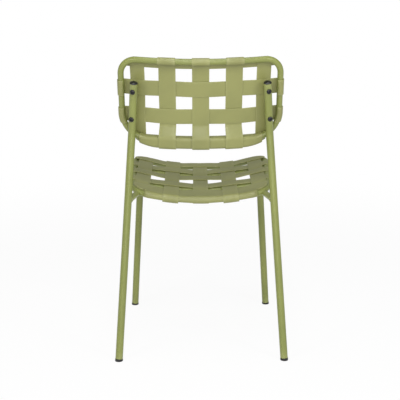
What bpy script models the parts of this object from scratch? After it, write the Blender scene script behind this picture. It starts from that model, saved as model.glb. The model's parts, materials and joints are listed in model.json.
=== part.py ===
"""Stacking chair: bent tube frame with a seat and a backrest of interlaced flat metal strips.

The chair stands on z = 0 and the sitter faces -Y. Every size is in metres.
The seat and the backrest are both sheets bent about one axis. A place on a sheet is given as
(u, v, n): u runs across the chair along the bend, v runs along the straight direction, and n is
the distance away from the sitter, so a negative n is on the sitter's side.
"""
import math

import bmesh
import bpy
from mathutils import Matrix, Vector

NAME = "stacking_chair"

# Clearances
GAP = 0.0003            # between pieces that touch
STRIP_CLEAR = 0.0007    # between a strip and the tube that it lies on
WEAVE_GAP = 0.0005      # between two strips where they cross
HOLE_CLEAR = 0.0003     # round a bolt in its hole
LOOP_GAP = 0.0012       # between the two ends of a loop's tube, where they are joined

# Tubes
LEG_R = 0.010           # rear legs, front legs
LEG_WALL = 0.0015
FRAME_R = 0.008         # loops round the seat and the backrest, bars under the seat
FRAME_WALL = 0.0012
LINK_R = 0.0083         # short tubes between the rear legs and the seat loop
LINK_WALL = 0.0015
LINK_SHORT = 0.0045     # how far a link stops short of the loop's centre line
LINK_DROP = 0.0045      # how much lower a link meets the leg than the loop
LINK_UNDER = 0.0045     # how far a link's centre line passes under the loop's

# Rear legs, in one straight line from the front; y counts forward from the rear feet here
REAR_FOOT_X = 0.2228
REAR_SPLAY = 0.0697     # how far a leg leans inwards for each metre of height
BEND_Z = 0.610
BEND_FORWARD = 0.0624
BEND_RADIUS = 0.060
RECLINE = math.radians(16.0)
POST_LENGTH = 0.1405    # from the bend to the open top end

# Front legs with their rails under the seat
FRONT_FOOT_X = 0.2033
FRONT_FOOT_FORWARD = 0.456
FRONT_TOP_X = 0.1763
FRONT_TOP_FORWARD = 0.4154
FRONT_BEND_RADIUS = 0.055
RAIL_REAR_X = 0.1706    # at the rear bar
RAIL_OVERHANG = 0.016   # how far a rail runs on behind the rear bar

# Strips
STRIP_T = 0.0015
SEAT_STRIP_W = 0.042
BACK_UPRIGHT_W = 0.044
BACK_OUTER_W = 0.038    # the first and the last upright strip
BACK_ROW_W = 0.042

# Seat sheet
SEAT_BEND_R = 0.66
SEAT_PITCH = math.radians(2.2)
SEAT_REAR_FORWARD = 0.105
SEAT_REAR_Z = 0.4292
SEAT_DEPTH = 0.366      # between the centre lines of the rear and the front tube
SEAT_HALF_REAR = 0.180
SEAT_HALF_FRONT = 0.197
SEAT_CORNER_REAR = 0.045
SEAT_CORNER_FRONT = 0.045
SEAT_COLUMN_U = (-0.162, -0.0805, 0.0, 0.0805, 0.162)
SEAT_ROW_FIRST = 0.0554     # from the rear tube's centre line to the first row's front edge
SEAT_REAR_ROW_W = 0.052     # the first row is wider than the others
SEAT_ROW_PITCH = 0.078
SEAT_BAR_FORWARD = 0.008     # a bar runs this far in front of the rear edge of the row above it

# Backrest sheet
BACK_BEND_R = 0.75
BACK_CENTRE_UP = 0.0824     # from the leg's bend, along the post, to the middle of the two main rows
BACK_HALF = 0.2045
BACK_TOP = 0.1182           # top tube's centre line above the middle
BACK_BOTTOM = -0.1028
BACK_CORNER_TOP = 0.042
BACK_CORNER_BOTTOM = 0.070
BACK_COLUMN_PITCH = 0.086
BACK_OUTER_U = 0.1635       # middle of the first and the last upright strip
BACK_ROW_PITCH = 0.077
TOP_BAND_OVER = 0.0035          # how far the top band reaches above the top tube's centre line
BACK_BOTTOM_BAND_W = 0.036
BAND_ROUND_FROM = 0.107         # where the bottom band's lower edge begins to rise
BAND_ROUND_R = 0.130
HOOK_LEAD = 0.006               # the middle upright's hooked lower end: where its slope stops
HOOK_DROP = 0.0200              # below the bottom tube's centre line
HOOK_EASE = 0.020
HOOK_R = 0.009

# Strip ends and weave
FLAT_OVER = 0.0005      # how far a flat end reaches past the tube's centre line
SEAT_PAST = math.radians(20.0)      # how far a wrapped end follows its tube after the half turn
BACK_PAST = math.radians(35.0)
SETTLE = 0.001          # stretch of a strip that lies on its tube before it wraps
EASE = 0.22             # share of a strip's step taken in the outer thirds of the space it crosses

# Bolts through the posts
BOLT_R = 0.003
BOLT_HEAD_R = 0.0065
BOLT_HEAD_H = 0.0036
NUT_R = 0.0055
NUT_H = 0.0055
SPACER_R = 0.0062

# Plastic ends
FOOT_BASE = 0.0060      # height that shows below the tube
CAP_DOME = 0.0042
CAP_BRIM = 0.0006
CAP_STEM = 0.012
CAP_SOLE = 0.0014

# Smoothness
TUBE_SIDES = 12
ARC_STEP = math.radians(20.0)
WRAP_STEP = math.radians(30.0)
SHEET_STEP = 0.040      # longest stretch of a tube that follows a sheet
LONG_STEP = 0.200       # longest stretch of a strip along and across the bend
CROSS_STEP = 0.024
OUTER_PARTS = 3         # parts across a strip whose ends follow a loop's corner
FIT_PARTS = 12
ROUND_SIDES = 20
BOLT_SIDES = 12
CUTTER_REACH = 0.030
FLOOR_CUT = 0.9
SAME_PLACE = 0.000002

GREEN = (0.300, 0.325, 0.095, 1.0)
BLACK = (0.012, 0.012, 0.012, 1.0)
BOLT_BLACK = (0.010, 0.010, 0.011, 1.0)

STRIP_N = (STRIP_T + WEAVE_GAP) / 2                         # a strip's offset where it crosses another
TUBE_N = STRIP_N + STRIP_T / 2 + STRIP_CLEAR + FRAME_R      # a loop's offset behind the sheet


# ---------------------------------------------------------------- scene helpers

def clear_scene():
    for obj in list(bpy.data.objects):
        bpy.data.objects.remove(obj, do_unlink=True)


def new_collection(name):
    collection = bpy.data.collections.new(name)
    bpy.context.scene.collection.children.link(collection)
    return collection


def make_material(name, colour, roughness, metallic):
    material = bpy.data.materials.new(name)
    material.use_nodes = True
    shader = material.node_tree.nodes["Principled BSDF"]
    shader.inputs["Base Color"].default_value = colour
    shader.inputs["Roughness"].default_value = roughness
    shader.inputs["Metallic"].default_value = metallic
    material.diffuse_color = colour
    return material


class Workshop:
    """Holds the collections, the parent empty and the materials while the pieces are made."""

    def __init__(self):
        self.parts = new_collection(NAME)
        self.cutters = new_collection(NAME + "_cutters")
        self.origin = bpy.data.objects.new(NAME + "_origin", None)
        self.parts.objects.link(self.origin)
        self.floor = self.cutter("below_floor", self.floor_mesh())
        self.looks = {
            "strip": ("green_strip", GREEN, 0.42, 0.0),
            "tube": ("green_tube", GREEN, 0.38, 0.0),
            "plastic": ("black_plastic", BLACK, 0.50, 0.0),
            "bolt": ("black_steel", BOLT_BLACK, 0.32, 0.6),
        }

    @staticmethod
    def floor_mesh():
        bm = bmesh.new()
        bmesh.ops.create_cube(bm, size=2 * FLOOR_CUT, matrix=Matrix.Translation((0, 0, -FLOOR_CUT)))
        mesh = bpy.data.meshes.new("below_floor")
        bm.to_mesh(mesh)
        bm.free()
        return mesh

    def add(self, name, mesh, look):
        """Make one named piece from a mesh whose points are already in the chair's own frame."""
        obj = bpy.data.objects.new(name, mesh)
        self.parts.objects.link(obj)
        obj.parent = self.origin
        base, colour, roughness, metallic = self.looks[look]
        mesh.materials.clear()
        mesh.materials.append(make_material(f"{base}_{name}", colour, roughness, metallic))
        mesh.shade_smooth()
        mesh.set_sharp_from_angle(angle=math.radians(40.0))
        return obj

    def cutter(self, name, mesh):
        obj = bpy.data.objects.new(name, mesh)
        self.cutters.objects.link(obj)
        obj.parent = self.origin
        obj.hide_render = True
        obj.display_type = "WIRE"
        return obj


def cut(obj, cutter, operation="DIFFERENCE"):
    modifier = obj.modifiers.new("cut_" + cutter.name, "BOOLEAN")
    modifier.operation = operation
    modifier.solver = "EXACT"
    modifier.object = cutter


# ---------------------------------------------------------------- paths

def fillet_path(points, radii, step=ARC_STEP):
    """Round the inner corners of a path. radii has one value for each inner point."""
    points = [Vector(p) for p in points]
    out = [points[0]]
    for before, corner, after, radius in zip(points, points[1:], points[2:], radii):
        a = (before - corner).normalized()
        b = (after - corner).normalized()
        turn = math.pi - a.angle(b)
        if radius <= 0.0 or turn < math.radians(0.5):
            out.append(corner)
            continue
        reach = radius * math.tan(turn / 2)
        centre = corner + (a + b).normalized() * (radius / math.cos(turn / 2))
        start = corner + a * reach - centre
        side = (corner + b * reach - centre) - start * math.cos(turn)
        side.normalize()
        count = max(2, math.ceil(turn / step))
        for k in range(count + 1):
            angle = turn * k / count
            out.append(centre + start * math.cos(angle) + side * (radius * math.sin(angle)))
    out.append(points[-1])
    return [out[0]] + [b for a, b in zip(out, out[1:]) if (b - a).length > SAME_PLACE]


def split_across(points, longest):
    """Add points so that no stretch of a flat path goes further than this across the bend."""
    out = [points[0]]
    for a, b in zip(points, points[1:]):
        count = max(1, math.ceil(abs(b.x - a.x) / longest - 1e-6))
        out.extend(a.lerp(b, k / count) for k in range(1, count + 1))
    return out


# ---------------------------------------------------------------- tubes

def tube_mesh(name, points, radius, wall=0.0):
    """Sweep a round tube along the points. With a wall it is hollow and open at both ends."""
    curve = bpy.data.curves.new(name, "CURVE")
    curve.dimensions = "3D"
    curve.bevel_depth = radius
    curve.bevel_resolution = (TUBE_SIDES - 4) // 2
    curve.use_fill_caps = wall == 0.0
    spline = curve.splines.new("POLY")
    spline.points.add(len(points) - 1)
    for place, point in zip(spline.points, points):
        place.co = (point.x, point.y, point.z, 1.0)
    guide = bpy.data.objects.new(name + "_guide", curve)
    bpy.context.scene.collection.objects.link(guide)
    depsgraph = bpy.context.evaluated_depsgraph_get()
    mesh = bpy.data.meshes.new_from_object(guide.evaluated_get(depsgraph))
    bpy.data.objects.remove(guide, do_unlink=True)
    bpy.data.curves.remove(curve)
    mesh.name = name
    bm = bmesh.new()
    bm.from_mesh(mesh)
    bmesh.ops.remove_doubles(bm, verts=bm.verts, dist=0.00001)
    bmesh.ops.recalc_face_normals(bm, faces=bm.faces)
    face = min(bm.faces, key=lambda f: (f.calc_center_median() - points[0]).length)
    nearest = min(range(len(points) - 1),
                  key=lambda k: ((points[k] + points[k + 1]) / 2 - face.calc_center_median()).length)
    middle = (points[nearest] + points[nearest + 1]) / 2
    if wall and face.normal.dot(face.calc_center_median() - middle) < 0.0:
        bmesh.ops.reverse_faces(bm, faces=bm.faces)
    bm.to_mesh(mesh)
    bm.free()
    return mesh


def add_tube(shop, name, points, radius, wall):
    obj = shop.add(name, tube_mesh(name, points, radius, wall), "tube")
    solid = obj.modifiers.new("wall", "SOLIDIFY")
    solid.thickness = wall
    solid.offset = -1.0
    solid.use_even_offset = True
    return obj


def rod_cutter(shop, name, start, end, radius, sides=ROUND_SIDES):
    """A round cutter that leaves GAP round a rod of this radius."""
    radius = (radius + GAP) / math.cos(math.pi / sides)
    bm = bmesh.new()
    length = (end - start).length
    turn = (end - start).to_track_quat("Z", "Y").to_matrix().to_4x4()
    place = Matrix.Translation((start + end) / 2) @ turn
    bmesh.ops.create_cone(bm, cap_ends=True, segments=sides, radius1=radius,
                          radius2=radius, depth=length, matrix=place)
    mesh = bpy.data.meshes.new(name)
    bm.to_mesh(mesh)
    bm.free()
    return shop.cutter(name, mesh)


def path_cutter(shop, name, points, radius):
    """A cutter that leaves GAP round a tube of this radius along the points."""
    return shop.cutter(name, tube_mesh(name, points, (radius + GAP) / math.cos(math.pi / TUBE_SIDES)))


def turned_mesh(name, profile, place, sides=ROUND_SIDES):
    """Turn a profile of (radius, height) pairs, from top to bottom, round its own Z axis."""
    bm = bmesh.new()
    spots = [bm.verts.new((radius, 0.0, height)) for radius, height in profile]
    edges = [bm.edges.new(pair) for pair in zip(spots, spots[1:])]
    bmesh.ops.spin(bm, geom=spots + edges, cent=(0, 0, 0), axis=(0, 0, 1), steps=sides,
                   angle=math.tau, use_merge=True)
    bmesh.ops.remove_doubles(bm, verts=bm.verts, dist=0.00001)
    bmesh.ops.recalc_face_normals(bm, faces=bm.faces)
    bm.transform(place)
    mesh = bpy.data.meshes.new(name)
    bm.to_mesh(mesh)
    bm.free()
    return mesh


# ---------------------------------------------------------------- sheets

class Sheet:
    """A sheet bent across u about an axis on the sitter's side, set in the chair's frame."""

    def __init__(self, bend, origin, along, outwards):
        self.bend = bend
        self.origin = origin
        self.along = along.normalized()
        self.towards = -outwards.normalized()

    def place(self, u, v, n):
        """The point at u, v and n away from the sitter."""
        turn = u / self.bend
        across = (self.bend + n) * math.sin(turn)
        rise = self.bend - (self.bend + n) * math.cos(turn)
        return self.origin + Vector((across, 0, 0)) + self.along * v + self.towards * rise

    def outwards(self, u):
        """The direction away from the sitter at u."""
        return (self.place(u, 0.0, 1.0) - self.place(u, 0.0, 0.0)).normalized()


class Outline:
    """A loop's centre line on its sheet: a trapezoid with round corners, the same left and right."""

    def __init__(self, low, high, half_low, half_high, corner_low, corner_high):
        self.low, self.high = low, high
        self.half_low, self.half_high = half_low, half_high
        self.corner_low, self.corner_high = corner_low, corner_high

    def half(self, v):
        """Half the width between the straight sides at v."""
        share = (v - self.low) / (self.high - self.low)
        return self.half_low + (self.half_high - self.half_low) * share

    def points(self):
        """From the middle of the low side all the way round, stopping LOOP_GAP short of the start."""
        corners = [(self.half_low, self.low), (self.half_high, self.high),
                   (-self.half_high, self.high), (-self.half_low, self.low)]
        radii = [self.corner_low, self.corner_high, self.corner_high, self.corner_low]
        ends = [Vector((LOOP_GAP / 2, self.low, 0)), Vector((-LOOP_GAP / 2, self.low, 0))]
        path = [ends[0]] + [Vector((u, v, 0)) for u, v in corners] + [ends[1]]
        return split_across(fillet_path(path, radii), SHEET_STEP)

    def reach(self, v, over):
        """How far out a flat end at v may go so that it stops `over` past the centre line."""
        half = self.half(v)
        for edge, corner, inside in ((self.low, self.corner_low, 1), (self.high, self.corner_high, -1)):
            centre_v = edge + inside * corner
            depth = (centre_v - v) * inside
            if depth > 0.0:
                radius = corner + over
                spread = math.sqrt(max(radius * radius - depth * depth, (radius * 0.25) ** 2))
                return self.half(centre_v) - corner + spread
        return half + over

    def end(self, u, side, over):
        """Where a flat end of a lengthwise strip stops at u, on the low (-1) or high (1) side."""
        edge, corner = (self.low, self.corner_low) if side < 0 else (self.high, self.corner_high)
        centre_v = edge - side * corner
        spread = abs(u) - (self.half(centre_v) - corner)
        radius = corner + over
        if spread <= 0.0:
            return edge + side * over
        return centre_v + side * math.sqrt(max(radius * radius - spread * spread, 0.0))


# ---------------------------------------------------------------- strips

def wrap_end(edge, side, n, past):
    """A strip's turn round a tube, as (along, n, corner radius) from the sheet outwards."""
    radius = TUBE_N - n
    outer, far = edge + side * radius, n + 2 * radius
    tangent = radius * math.tan(past / 2)
    last = edge - side * tangent
    return [(outer, n, radius), (outer, far, radius), (last, far, radius),
            (last - side * tangent * math.cos(past), far - tangent * math.sin(past), 0.0)]


def settled(crossings, low=None, high=None):
    """The crossings, with a short stretch on the tube at low or high where a strip stands off it."""
    out = list(crossings)
    if low is not None and crossings[0][2] != STRIP_N:
        out.insert(0, (low, low + SETTLE, STRIP_N))
    if high is not None and crossings[-1][2] != STRIP_N:
        out.append((high - SETTLE, high, STRIP_N))
    return out


def flat_end(place, n):
    return [(place, n, 0.0)]


def weave_path(crossings, low_end, high_end):
    """One edge of a strip along its length, as flat (along, n) vectors.

    crossings holds (start, end, n) in order. The first and the last run on into the ends.
    """
    spots = list(reversed(low_end))
    for k, (start, end, n) in enumerate(crossings):
        if k:
            before_end, before_n = crossings[k - 1][1:]
            third, step = (start - before_end) / 3, n - before_n
            spots.append((before_end, before_n, 0.0))
            if step:
                spots.append((before_end + third, before_n + step * EASE, 0.0))
                spots.append((start - third, n - step * EASE, 0.0))
            spots.append((start, n, 0.0))
    spots.extend(high_end)
    return fillet_path([(a, n, 0.0) for a, n, _ in spots], [r for _, _, r in spots[1:-1]], WRAP_STEP)


def strip_surface(name, sheet, lines, longest):
    """A strip's middle surface through lines of (u, v, n) that all have as many points."""
    rows = [[line[0] for line in lines]]
    for spots in zip(*(zip(line, line[1:]) for line in lines)):
        reach = max((b - a).length for a, b in spots)
        count = max(1, math.ceil(reach / longest - 1e-6))
        rows.extend([a.lerp(b, k / count) for a, b in spots] for k in range(1, count + 1))
    bm = bmesh.new()
    bmesh.ops.create_grid(bm, x_segments=len(rows) - 1, y_segments=len(lines) - 1, size=1.0)
    order = sorted(bm.verts, key=lambda vert: (round(vert.co.x, 5), vert.co.y))
    for vert, spot in zip(order, (spot for row in rows for spot in row)):
        vert.co = sheet.place(*spot)
    mesh = bpy.data.meshes.new(name)
    bm.to_mesh(mesh)
    bm.free()
    return mesh


def add_strip(shop, name, sheet, lines, longest):
    obj = shop.add(name, strip_surface(name, sheet, lines, longest), "strip")
    solid = obj.modifiers.new("thickness", "SOLIDIFY")
    solid.thickness = STRIP_T
    solid.offset = 0.0
    solid.use_even_offset = True
    return obj


def add_lengthwise(shop, name, sheet, left, right, path_at, parts=1):
    """A strip along v whose line at u follows path_at(u)."""
    places = [left + (right - left) * k / parts for k in range(parts + 1)]
    lines = [[Vector((u, p.x, p.y)) for p in path_at(u)] for u in places]
    return add_strip(shop, name, sheet, lines, LONG_STEP)


def add_crosswise(shop, name, sheet, low, high, path_at, parts=1):
    """A strip along u whose line at v follows path_at(v)."""
    places = [low + (high - low) * k / parts for k in range(parts + 1)]
    lines = [[Vector((p.x, v, p.y)) for p in path_at(v)] for v in places]
    return add_strip(shop, name, sheet, lines, CROSS_STEP)


def add_loop(shop, name, sheet, outline):
    points = [sheet.place(p.x, p.y, TUBE_N) for p in outline.points()]
    return add_tube(shop, name, points, FRAME_R, FRAME_WALL)


# ---------------------------------------------------------------- seat

SEAT_LINE = Outline(0.0, SEAT_DEPTH, SEAT_HALF_REAR, SEAT_HALF_FRONT,
                    SEAT_CORNER_REAR, SEAT_CORNER_FRONT)
SEAT = Sheet(SEAT_BEND_R, Vector((0, -SEAT_REAR_FORWARD, SEAT_REAR_Z)),
             Vector((0, -math.cos(SEAT_PITCH), math.sin(SEAT_PITCH))),
             Vector((0, -math.sin(SEAT_PITCH), -math.cos(SEAT_PITCH))))
SEAT_COLUMNS = [(u - SEAT_STRIP_W / 2, u + SEAT_STRIP_W / 2) for u in SEAT_COLUMN_U]
SEAT_ROWS = [(SEAT_ROW_FIRST + SEAT_ROW_PITCH * k - (SEAT_STRIP_W if k else SEAT_REAR_ROW_W),
              SEAT_ROW_FIRST + SEAT_ROW_PITCH * k) for k in range(5)]


def seat_long_n(column, row):
    """The lengthwise strip's offset: on the sitter's side at every other crossing."""
    return STRIP_N if (column + row) % 2 == 0 else -STRIP_N


def seat_bar_v(row):
    return SEAT_ROWS[row][0] + SEAT_BAR_FORWARD


def build_seat_long_strips(shop):
    for i, (left, right) in enumerate(SEAT_COLUMNS):
        crossings = [(low, high, seat_long_n(i, j)) for j, (low, high) in enumerate(SEAT_ROWS)]
        rear_n, front_n = crossings[0][2], crossings[-1][2]

        def path_at(u):
            if i in (0, len(SEAT_COLUMNS) - 1):
                low = flat_end(SEAT_LINE.end(u, -1, FLAT_OVER), rear_n)
                return weave_path(crossings, low, flat_end(SEAT_LINE.end(u, 1, FLAT_OVER), front_n))
            return weave_path(settled(crossings, low=SEAT_LINE.low),
                              wrap_end(SEAT_LINE.low, -1, STRIP_N, SEAT_PAST),
                              wrap_end(SEAT_LINE.high, 1, front_n, SEAT_PAST))

        parts = OUTER_PARTS if i in (0, len(SEAT_COLUMNS) - 1) else 1
        add_lengthwise(shop, f"seat_long_strip_{i + 1}", SEAT, left, right, path_at, parts)


def build_seat_cross_strips(shop):
    for j, (low, high) in enumerate(SEAT_ROWS):
        crossings = [(left, right, -seat_long_n(i, j)) for i, (left, right) in enumerate(SEAT_COLUMNS)]
        side_n = crossings[0][2]

        def path_at(v):
            if j in (0, len(SEAT_ROWS) - 1):
                reach = SEAT_LINE.reach(v, FLAT_OVER)
                return weave_path(crossings, flat_end(-reach, side_n), flat_end(reach, side_n))
            reach = SEAT_LINE.half(v)
            return weave_path(settled(crossings, -reach, reach),
                              wrap_end(-reach, -1, STRIP_N, SEAT_PAST),
                              wrap_end(reach, 1, STRIP_N, SEAT_PAST))

        parts = OUTER_PARTS if j in (0, len(SEAT_ROWS) - 1) else 1
        add_crosswise(shop, f"seat_cross_strip_{j + 1}", SEAT, low, high, path_at, parts)


def build_seat_bars(shop):
    for name, row in (("rear", 1), ("front", 3)):
        v = seat_bar_v(row)
        half = SEAT_LINE.half(v)
        flat = split_across([Vector((-half, v, 0)), Vector((half, v, 0))], SHEET_STEP)
        bar = add_tube(shop, f"seat_bar_{name}", [SEAT.place(p.x, p.y, TUBE_N) for p in flat],
                       FRAME_R, FRAME_WALL)
        for side in (-1, 1):
            ends = [SEAT.place(side * SEAT_LINE.half(v + way), v + way, TUBE_N)
                    for way in (-CUTTER_REACH, CUTTER_REACH)]
            cut(bar, rod_cutter(shop, f"cope_{name}_{side}", *ends, FRAME_R))


# ---------------------------------------------------------------- rear legs and links

def rear_leg_point(side, z):
    """The rear leg's centre line at height z, below the bend."""
    forward = BEND_FORWARD * z / BEND_Z
    return Vector((side * (REAR_FOOT_X - REAR_SPLAY * z), -forward, z))


def post_point(side, up):
    """The post's centre line at a distance up from the bend, measured along the recline."""
    z = BEND_Z + up * math.cos(RECLINE)
    return Vector((side * (REAR_FOOT_X - REAR_SPLAY * z),
                   -BEND_FORWARD + up * math.sin(RECLINE), z))


def rear_leg_path(side):
    foot = rear_leg_point(side, FOOT_BASE + GAP)
    return fillet_path([foot, rear_leg_point(side, BEND_Z), post_point(side, POST_LENGTH)],
                       [BEND_RADIUS])


def build_rear_leg(shop, side, word):
    leg = add_tube(shop, f"rear_leg_{word}", rear_leg_path(side), LEG_R, LEG_WALL)
    foot = rear_leg_point(side, 0.0)
    build_foot(shop, f"rear_foot_{word}", foot, rear_leg_point(side, BEND_Z) - foot)
    top = post_point(side, POST_LENGTH)
    build_cap(shop, f"post_cap_{word}", top, top - post_point(side, 0.0))
    return leg


def build_link(shop, side, word):
    corner = SEAT_CORNER_REAR
    slant = math.sqrt(0.5) * corner
    u = side * (SEAT_LINE.half(corner) - corner + slant)
    on_loop = SEAT.place(u, corner - slant, TUBE_N + LINK_UNDER)
    on_leg = rear_leg_point(side, on_loop.z - LINK_DROP)
    end = on_loop + (on_leg - on_loop).normalized() * LINK_SHORT
    link = add_tube(shop, f"seat_link_{word}", [on_leg, end], LINK_R, LINK_WALL)
    leg_cutter = rod_cutter(shop, f"cope_leg_{word}", rear_leg_point(side, on_leg.z - CUTTER_REACH),
                            rear_leg_point(side, on_leg.z + CUTTER_REACH), LEG_R)
    near = [p for p in SEAT_LINE.points() if p.y < corner + CUTTER_REACH and p.x * side > 0]
    loop_path = [SEAT.place(p.x, p.y, TUBE_N) for p in near]
    loop_cutter = path_cutter(shop, f"cope_loop_{word}", loop_path, FRAME_R)
    cut(link, leg_cutter)
    cut(link, loop_cutter)


# ---------------------------------------------------------------- front legs

def rail_point(side, x, row):
    """The rail's centre line where it runs under the bar behind this row."""
    n = TUBE_N + FRAME_R + LEG_R + GAP
    u = SEAT.bend * math.asin(x / (SEAT.bend + n))
    return SEAT.place(side * u, seat_bar_v(row), n)


def front_leg_path(side):
    rear = rail_point(side, RAIL_REAR_X, 1)
    share = (seat_bar_v(3) - seat_bar_v(1)) / (FRONT_TOP_FORWARD + rear.y)
    front = rail_point(side, RAIL_REAR_X + (FRONT_TOP_X - RAIL_REAR_X) * share, 3)
    along = (front - rear).normalized()
    corner = front + along * ((FRONT_TOP_FORWARD + front.y) / -along.y)
    foot = Vector((side * FRONT_FOOT_X, -FRONT_FOOT_FORWARD, 0.0))
    down = (foot - corner).normalized()
    start = foot + down * ((FOOT_BASE + GAP) / down.z)
    return fillet_path([rear - along * RAIL_OVERHANG, corner, start], [FRONT_BEND_RADIUS])


def build_front_leg(shop, side, word):
    path = front_leg_path(side)
    add_tube(shop, f"front_leg_{word}", path, LEG_R, LEG_WALL)
    build_cap(shop, f"rail_cap_{word}", path[0], path[0] - path[1])
    up = path[-2] - path[-1]
    foot = path[-1] - up * (path[-1].z / up.z)
    build_foot(shop, f"front_foot_{word}", foot, up)


# ---------------------------------------------------------------- plastic ends

def facing(point, axis):
    """A placing that puts a turned piece's Z along axis at point."""
    return Matrix.Translation(point) @ axis.to_track_quat("Z", "Y").to_matrix().to_4x4()


def stem_radius():
    """A plug's stem, GAP inside a leg's tube."""
    return LEG_R * math.cos(math.pi / TUBE_SIDES) - LEG_WALL - GAP


def build_foot(shop, name, point, axis):
    """A plug in the tube's lower end whose underside is cut level with the floor."""
    brim, stem = LEG_R + CAP_BRIM, stem_radius()
    top = FOOT_BASE / axis.normalized().z
    profile = [(0.0, top + CAP_STEM), (stem, top + CAP_STEM), (stem, top), (brim, top),
               (brim, -FOOT_BASE), (0.0, -FOOT_BASE)]
    foot = shop.add(name, turned_mesh(name, profile, facing(point, axis)), "plastic")
    cut(foot, shop.floor)


def build_cap(shop, name, point, axis):
    """A domed plug in a tube's open end."""
    brim, stem = LEG_R + CAP_BRIM, stem_radius()
    dome = [(brim * math.sin(k * math.pi / 8), CAP_SOLE + CAP_DOME * math.cos(k * math.pi / 8))
            for k in range(5)]
    profile = dome + [(brim, GAP), (stem, GAP), (stem, -CAP_STEM), (0.0, -CAP_STEM)]
    shop.add(name, turned_mesh(name, profile, facing(point, axis)), "plastic")


# ---------------------------------------------------------------- backrest

BACK_LINE = Outline(BACK_BOTTOM, BACK_TOP, BACK_HALF, BACK_HALF, BACK_CORNER_BOTTOM, BACK_CORNER_TOP)
BACK_COLUMNS = [(u - width / 2, u + width / 2) for u, width in (
    (-BACK_OUTER_U, BACK_OUTER_W), (-BACK_COLUMN_PITCH, BACK_UPRIGHT_W), (0.0, BACK_UPRIGHT_W),
    (BACK_COLUMN_PITCH, BACK_UPRIGHT_W), (BACK_OUTER_U, BACK_OUTER_W))]
BACK_AWAY = Vector((0, math.cos(RECLINE), -math.sin(RECLINE)))
BACK_UP = Vector((0, math.sin(RECLINE), math.cos(RECLINE)))
ROW_EDGE = BACK_ROW_PITCH / 2 + BACK_ROW_W / 2
BAND_EDGE = ROW_EDGE + BACK_ROW_PITCH - BACK_ROW_W      # the bands' inner edges


def distance_between(start, end, path):
    """The least distance between a short stretch of a tube, taken in steps, and a path."""
    best = math.inf
    for k in range(FIT_PARTS + 1):
        point = start.lerp(end, k / FIT_PARTS)
        for a, b in zip(path, path[1:]):
            way = b - a
            share = min(1.0, max(0.0, (point - a).dot(way) / way.length_squared))
            best = min(best, (point - a - way * share).length)
    return best


def back_sheet(standoff):
    """The backrest's sheet with its middle line this far in front of the posts' plane."""
    middle = Vector((0, -BEND_FORWARD, BEND_Z)) + BACK_UP * BACK_CENTRE_UP - BACK_AWAY * standoff
    return Sheet(BACK_BEND_R, middle, BACK_UP, BACK_AWAY)


def fit_back_sheet():
    """Bring the backrest's loop up to the posts until it touches them, but for GAP."""
    post = rear_leg_path(1)
    flat = [p for p in BACK_LINE.points() if p.x > 0.0]
    near, far = -0.05, 0.15
    for _ in range(40):
        middle = (near + far) / 2
        sheet = back_sheet(middle)
        loop = [sheet.place(p.x, p.y, TUBE_N) for p in flat]
        clear = min(distance_between(a, b, post) for a, b in zip(loop, loop[1:]))
        if clear < FRAME_R + LEG_R + GAP:
            near = middle
        else:
            far = middle
    return back_sheet(far)


BACK = fit_back_sheet()


def back_upright_n(column, row):
    """An upright strip's offset at a row counted from the bottom band."""
    if row in (0, 3):
        return STRIP_N
    return STRIP_N if (column + row) % 2 == 1 else -STRIP_N


def back_row_edges():
    """The lower and upper edge of the bottom band, the two main rows and the top band."""
    return [(-BAND_EDGE - BACK_BOTTOM_BAND_W, -BAND_EDGE),
            (-ROW_EDGE, -ROW_EDGE + BACK_ROW_W),
            (ROW_EDGE - BACK_ROW_W, ROW_EDGE),
            (BAND_EDGE, BACK_TOP + TOP_BAND_OVER)]


def hook_end():
    """The middle upright's lower end: out behind the tube, then in under it to the bottom band."""
    behind = TUBE_N + FRAME_R + STRIP_CLEAR + STRIP_T / 2
    under = BACK_BOTTOM - HOOK_DROP
    return [(-ROW_EDGE - HOOK_LEAD, STRIP_N, HOOK_EASE), (BACK_BOTTOM + HOOK_LEAD, behind, HOOK_EASE),
            (under, behind, HOOK_R), (under, STRIP_T / 2 - STRIP_N + 2 * GAP, 0.0)]


def build_back_uprights(shop):
    rows = back_row_edges()
    made = []
    for i, (left, right) in enumerate(BACK_COLUMNS):
        crossings = [(low, high, back_upright_n(i, j)) for j, (low, high) in enumerate(rows)]

        def path_at(u):
            if i in (0, len(BACK_COLUMNS) - 1):
                low = flat_end(BACK_LINE.end(u, -1, FLAT_OVER), STRIP_N)
                high = flat_end(BACK_LINE.end(u, 1, FLAT_OVER), STRIP_N)
                return weave_path(crossings[1:], low, high)
            high = wrap_end(BACK_LINE.high, 1, STRIP_N, BACK_PAST)
            if i == 2:
                return weave_path(crossings[1:], hook_end(), high)
            return weave_path(crossings, wrap_end(BACK_LINE.low, -1, STRIP_N, BACK_PAST), high)

        name = f"back_upright_strip_{i + 1}"
        parts = OUTER_PARTS if i in (0, len(BACK_COLUMNS) - 1) else 1
        made.append(add_lengthwise(shop, name, BACK, left, right, path_at, parts))
    return made


def build_back_rows(shop):
    made = []
    for j, (low, high) in enumerate(back_row_edges()[1:3], start=1):
        crossings = [(left, right, -back_upright_n(i, j))
                     for i, (left, right) in enumerate(BACK_COLUMNS)]

        def path_at(v):
            reach = BACK_LINE.reach(v, FLAT_OVER)
            return weave_path(settled(crossings, -reach, reach),
                              wrap_end(-reach, -1, STRIP_N, BACK_PAST),
                              wrap_end(reach, 1, STRIP_N, BACK_PAST))

        made.append(add_crosswise(shop, f"back_cross_strip_{j}", BACK, low, high, path_at,
                                  OUTER_PARTS if j == 1 else 1))
    return made


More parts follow.
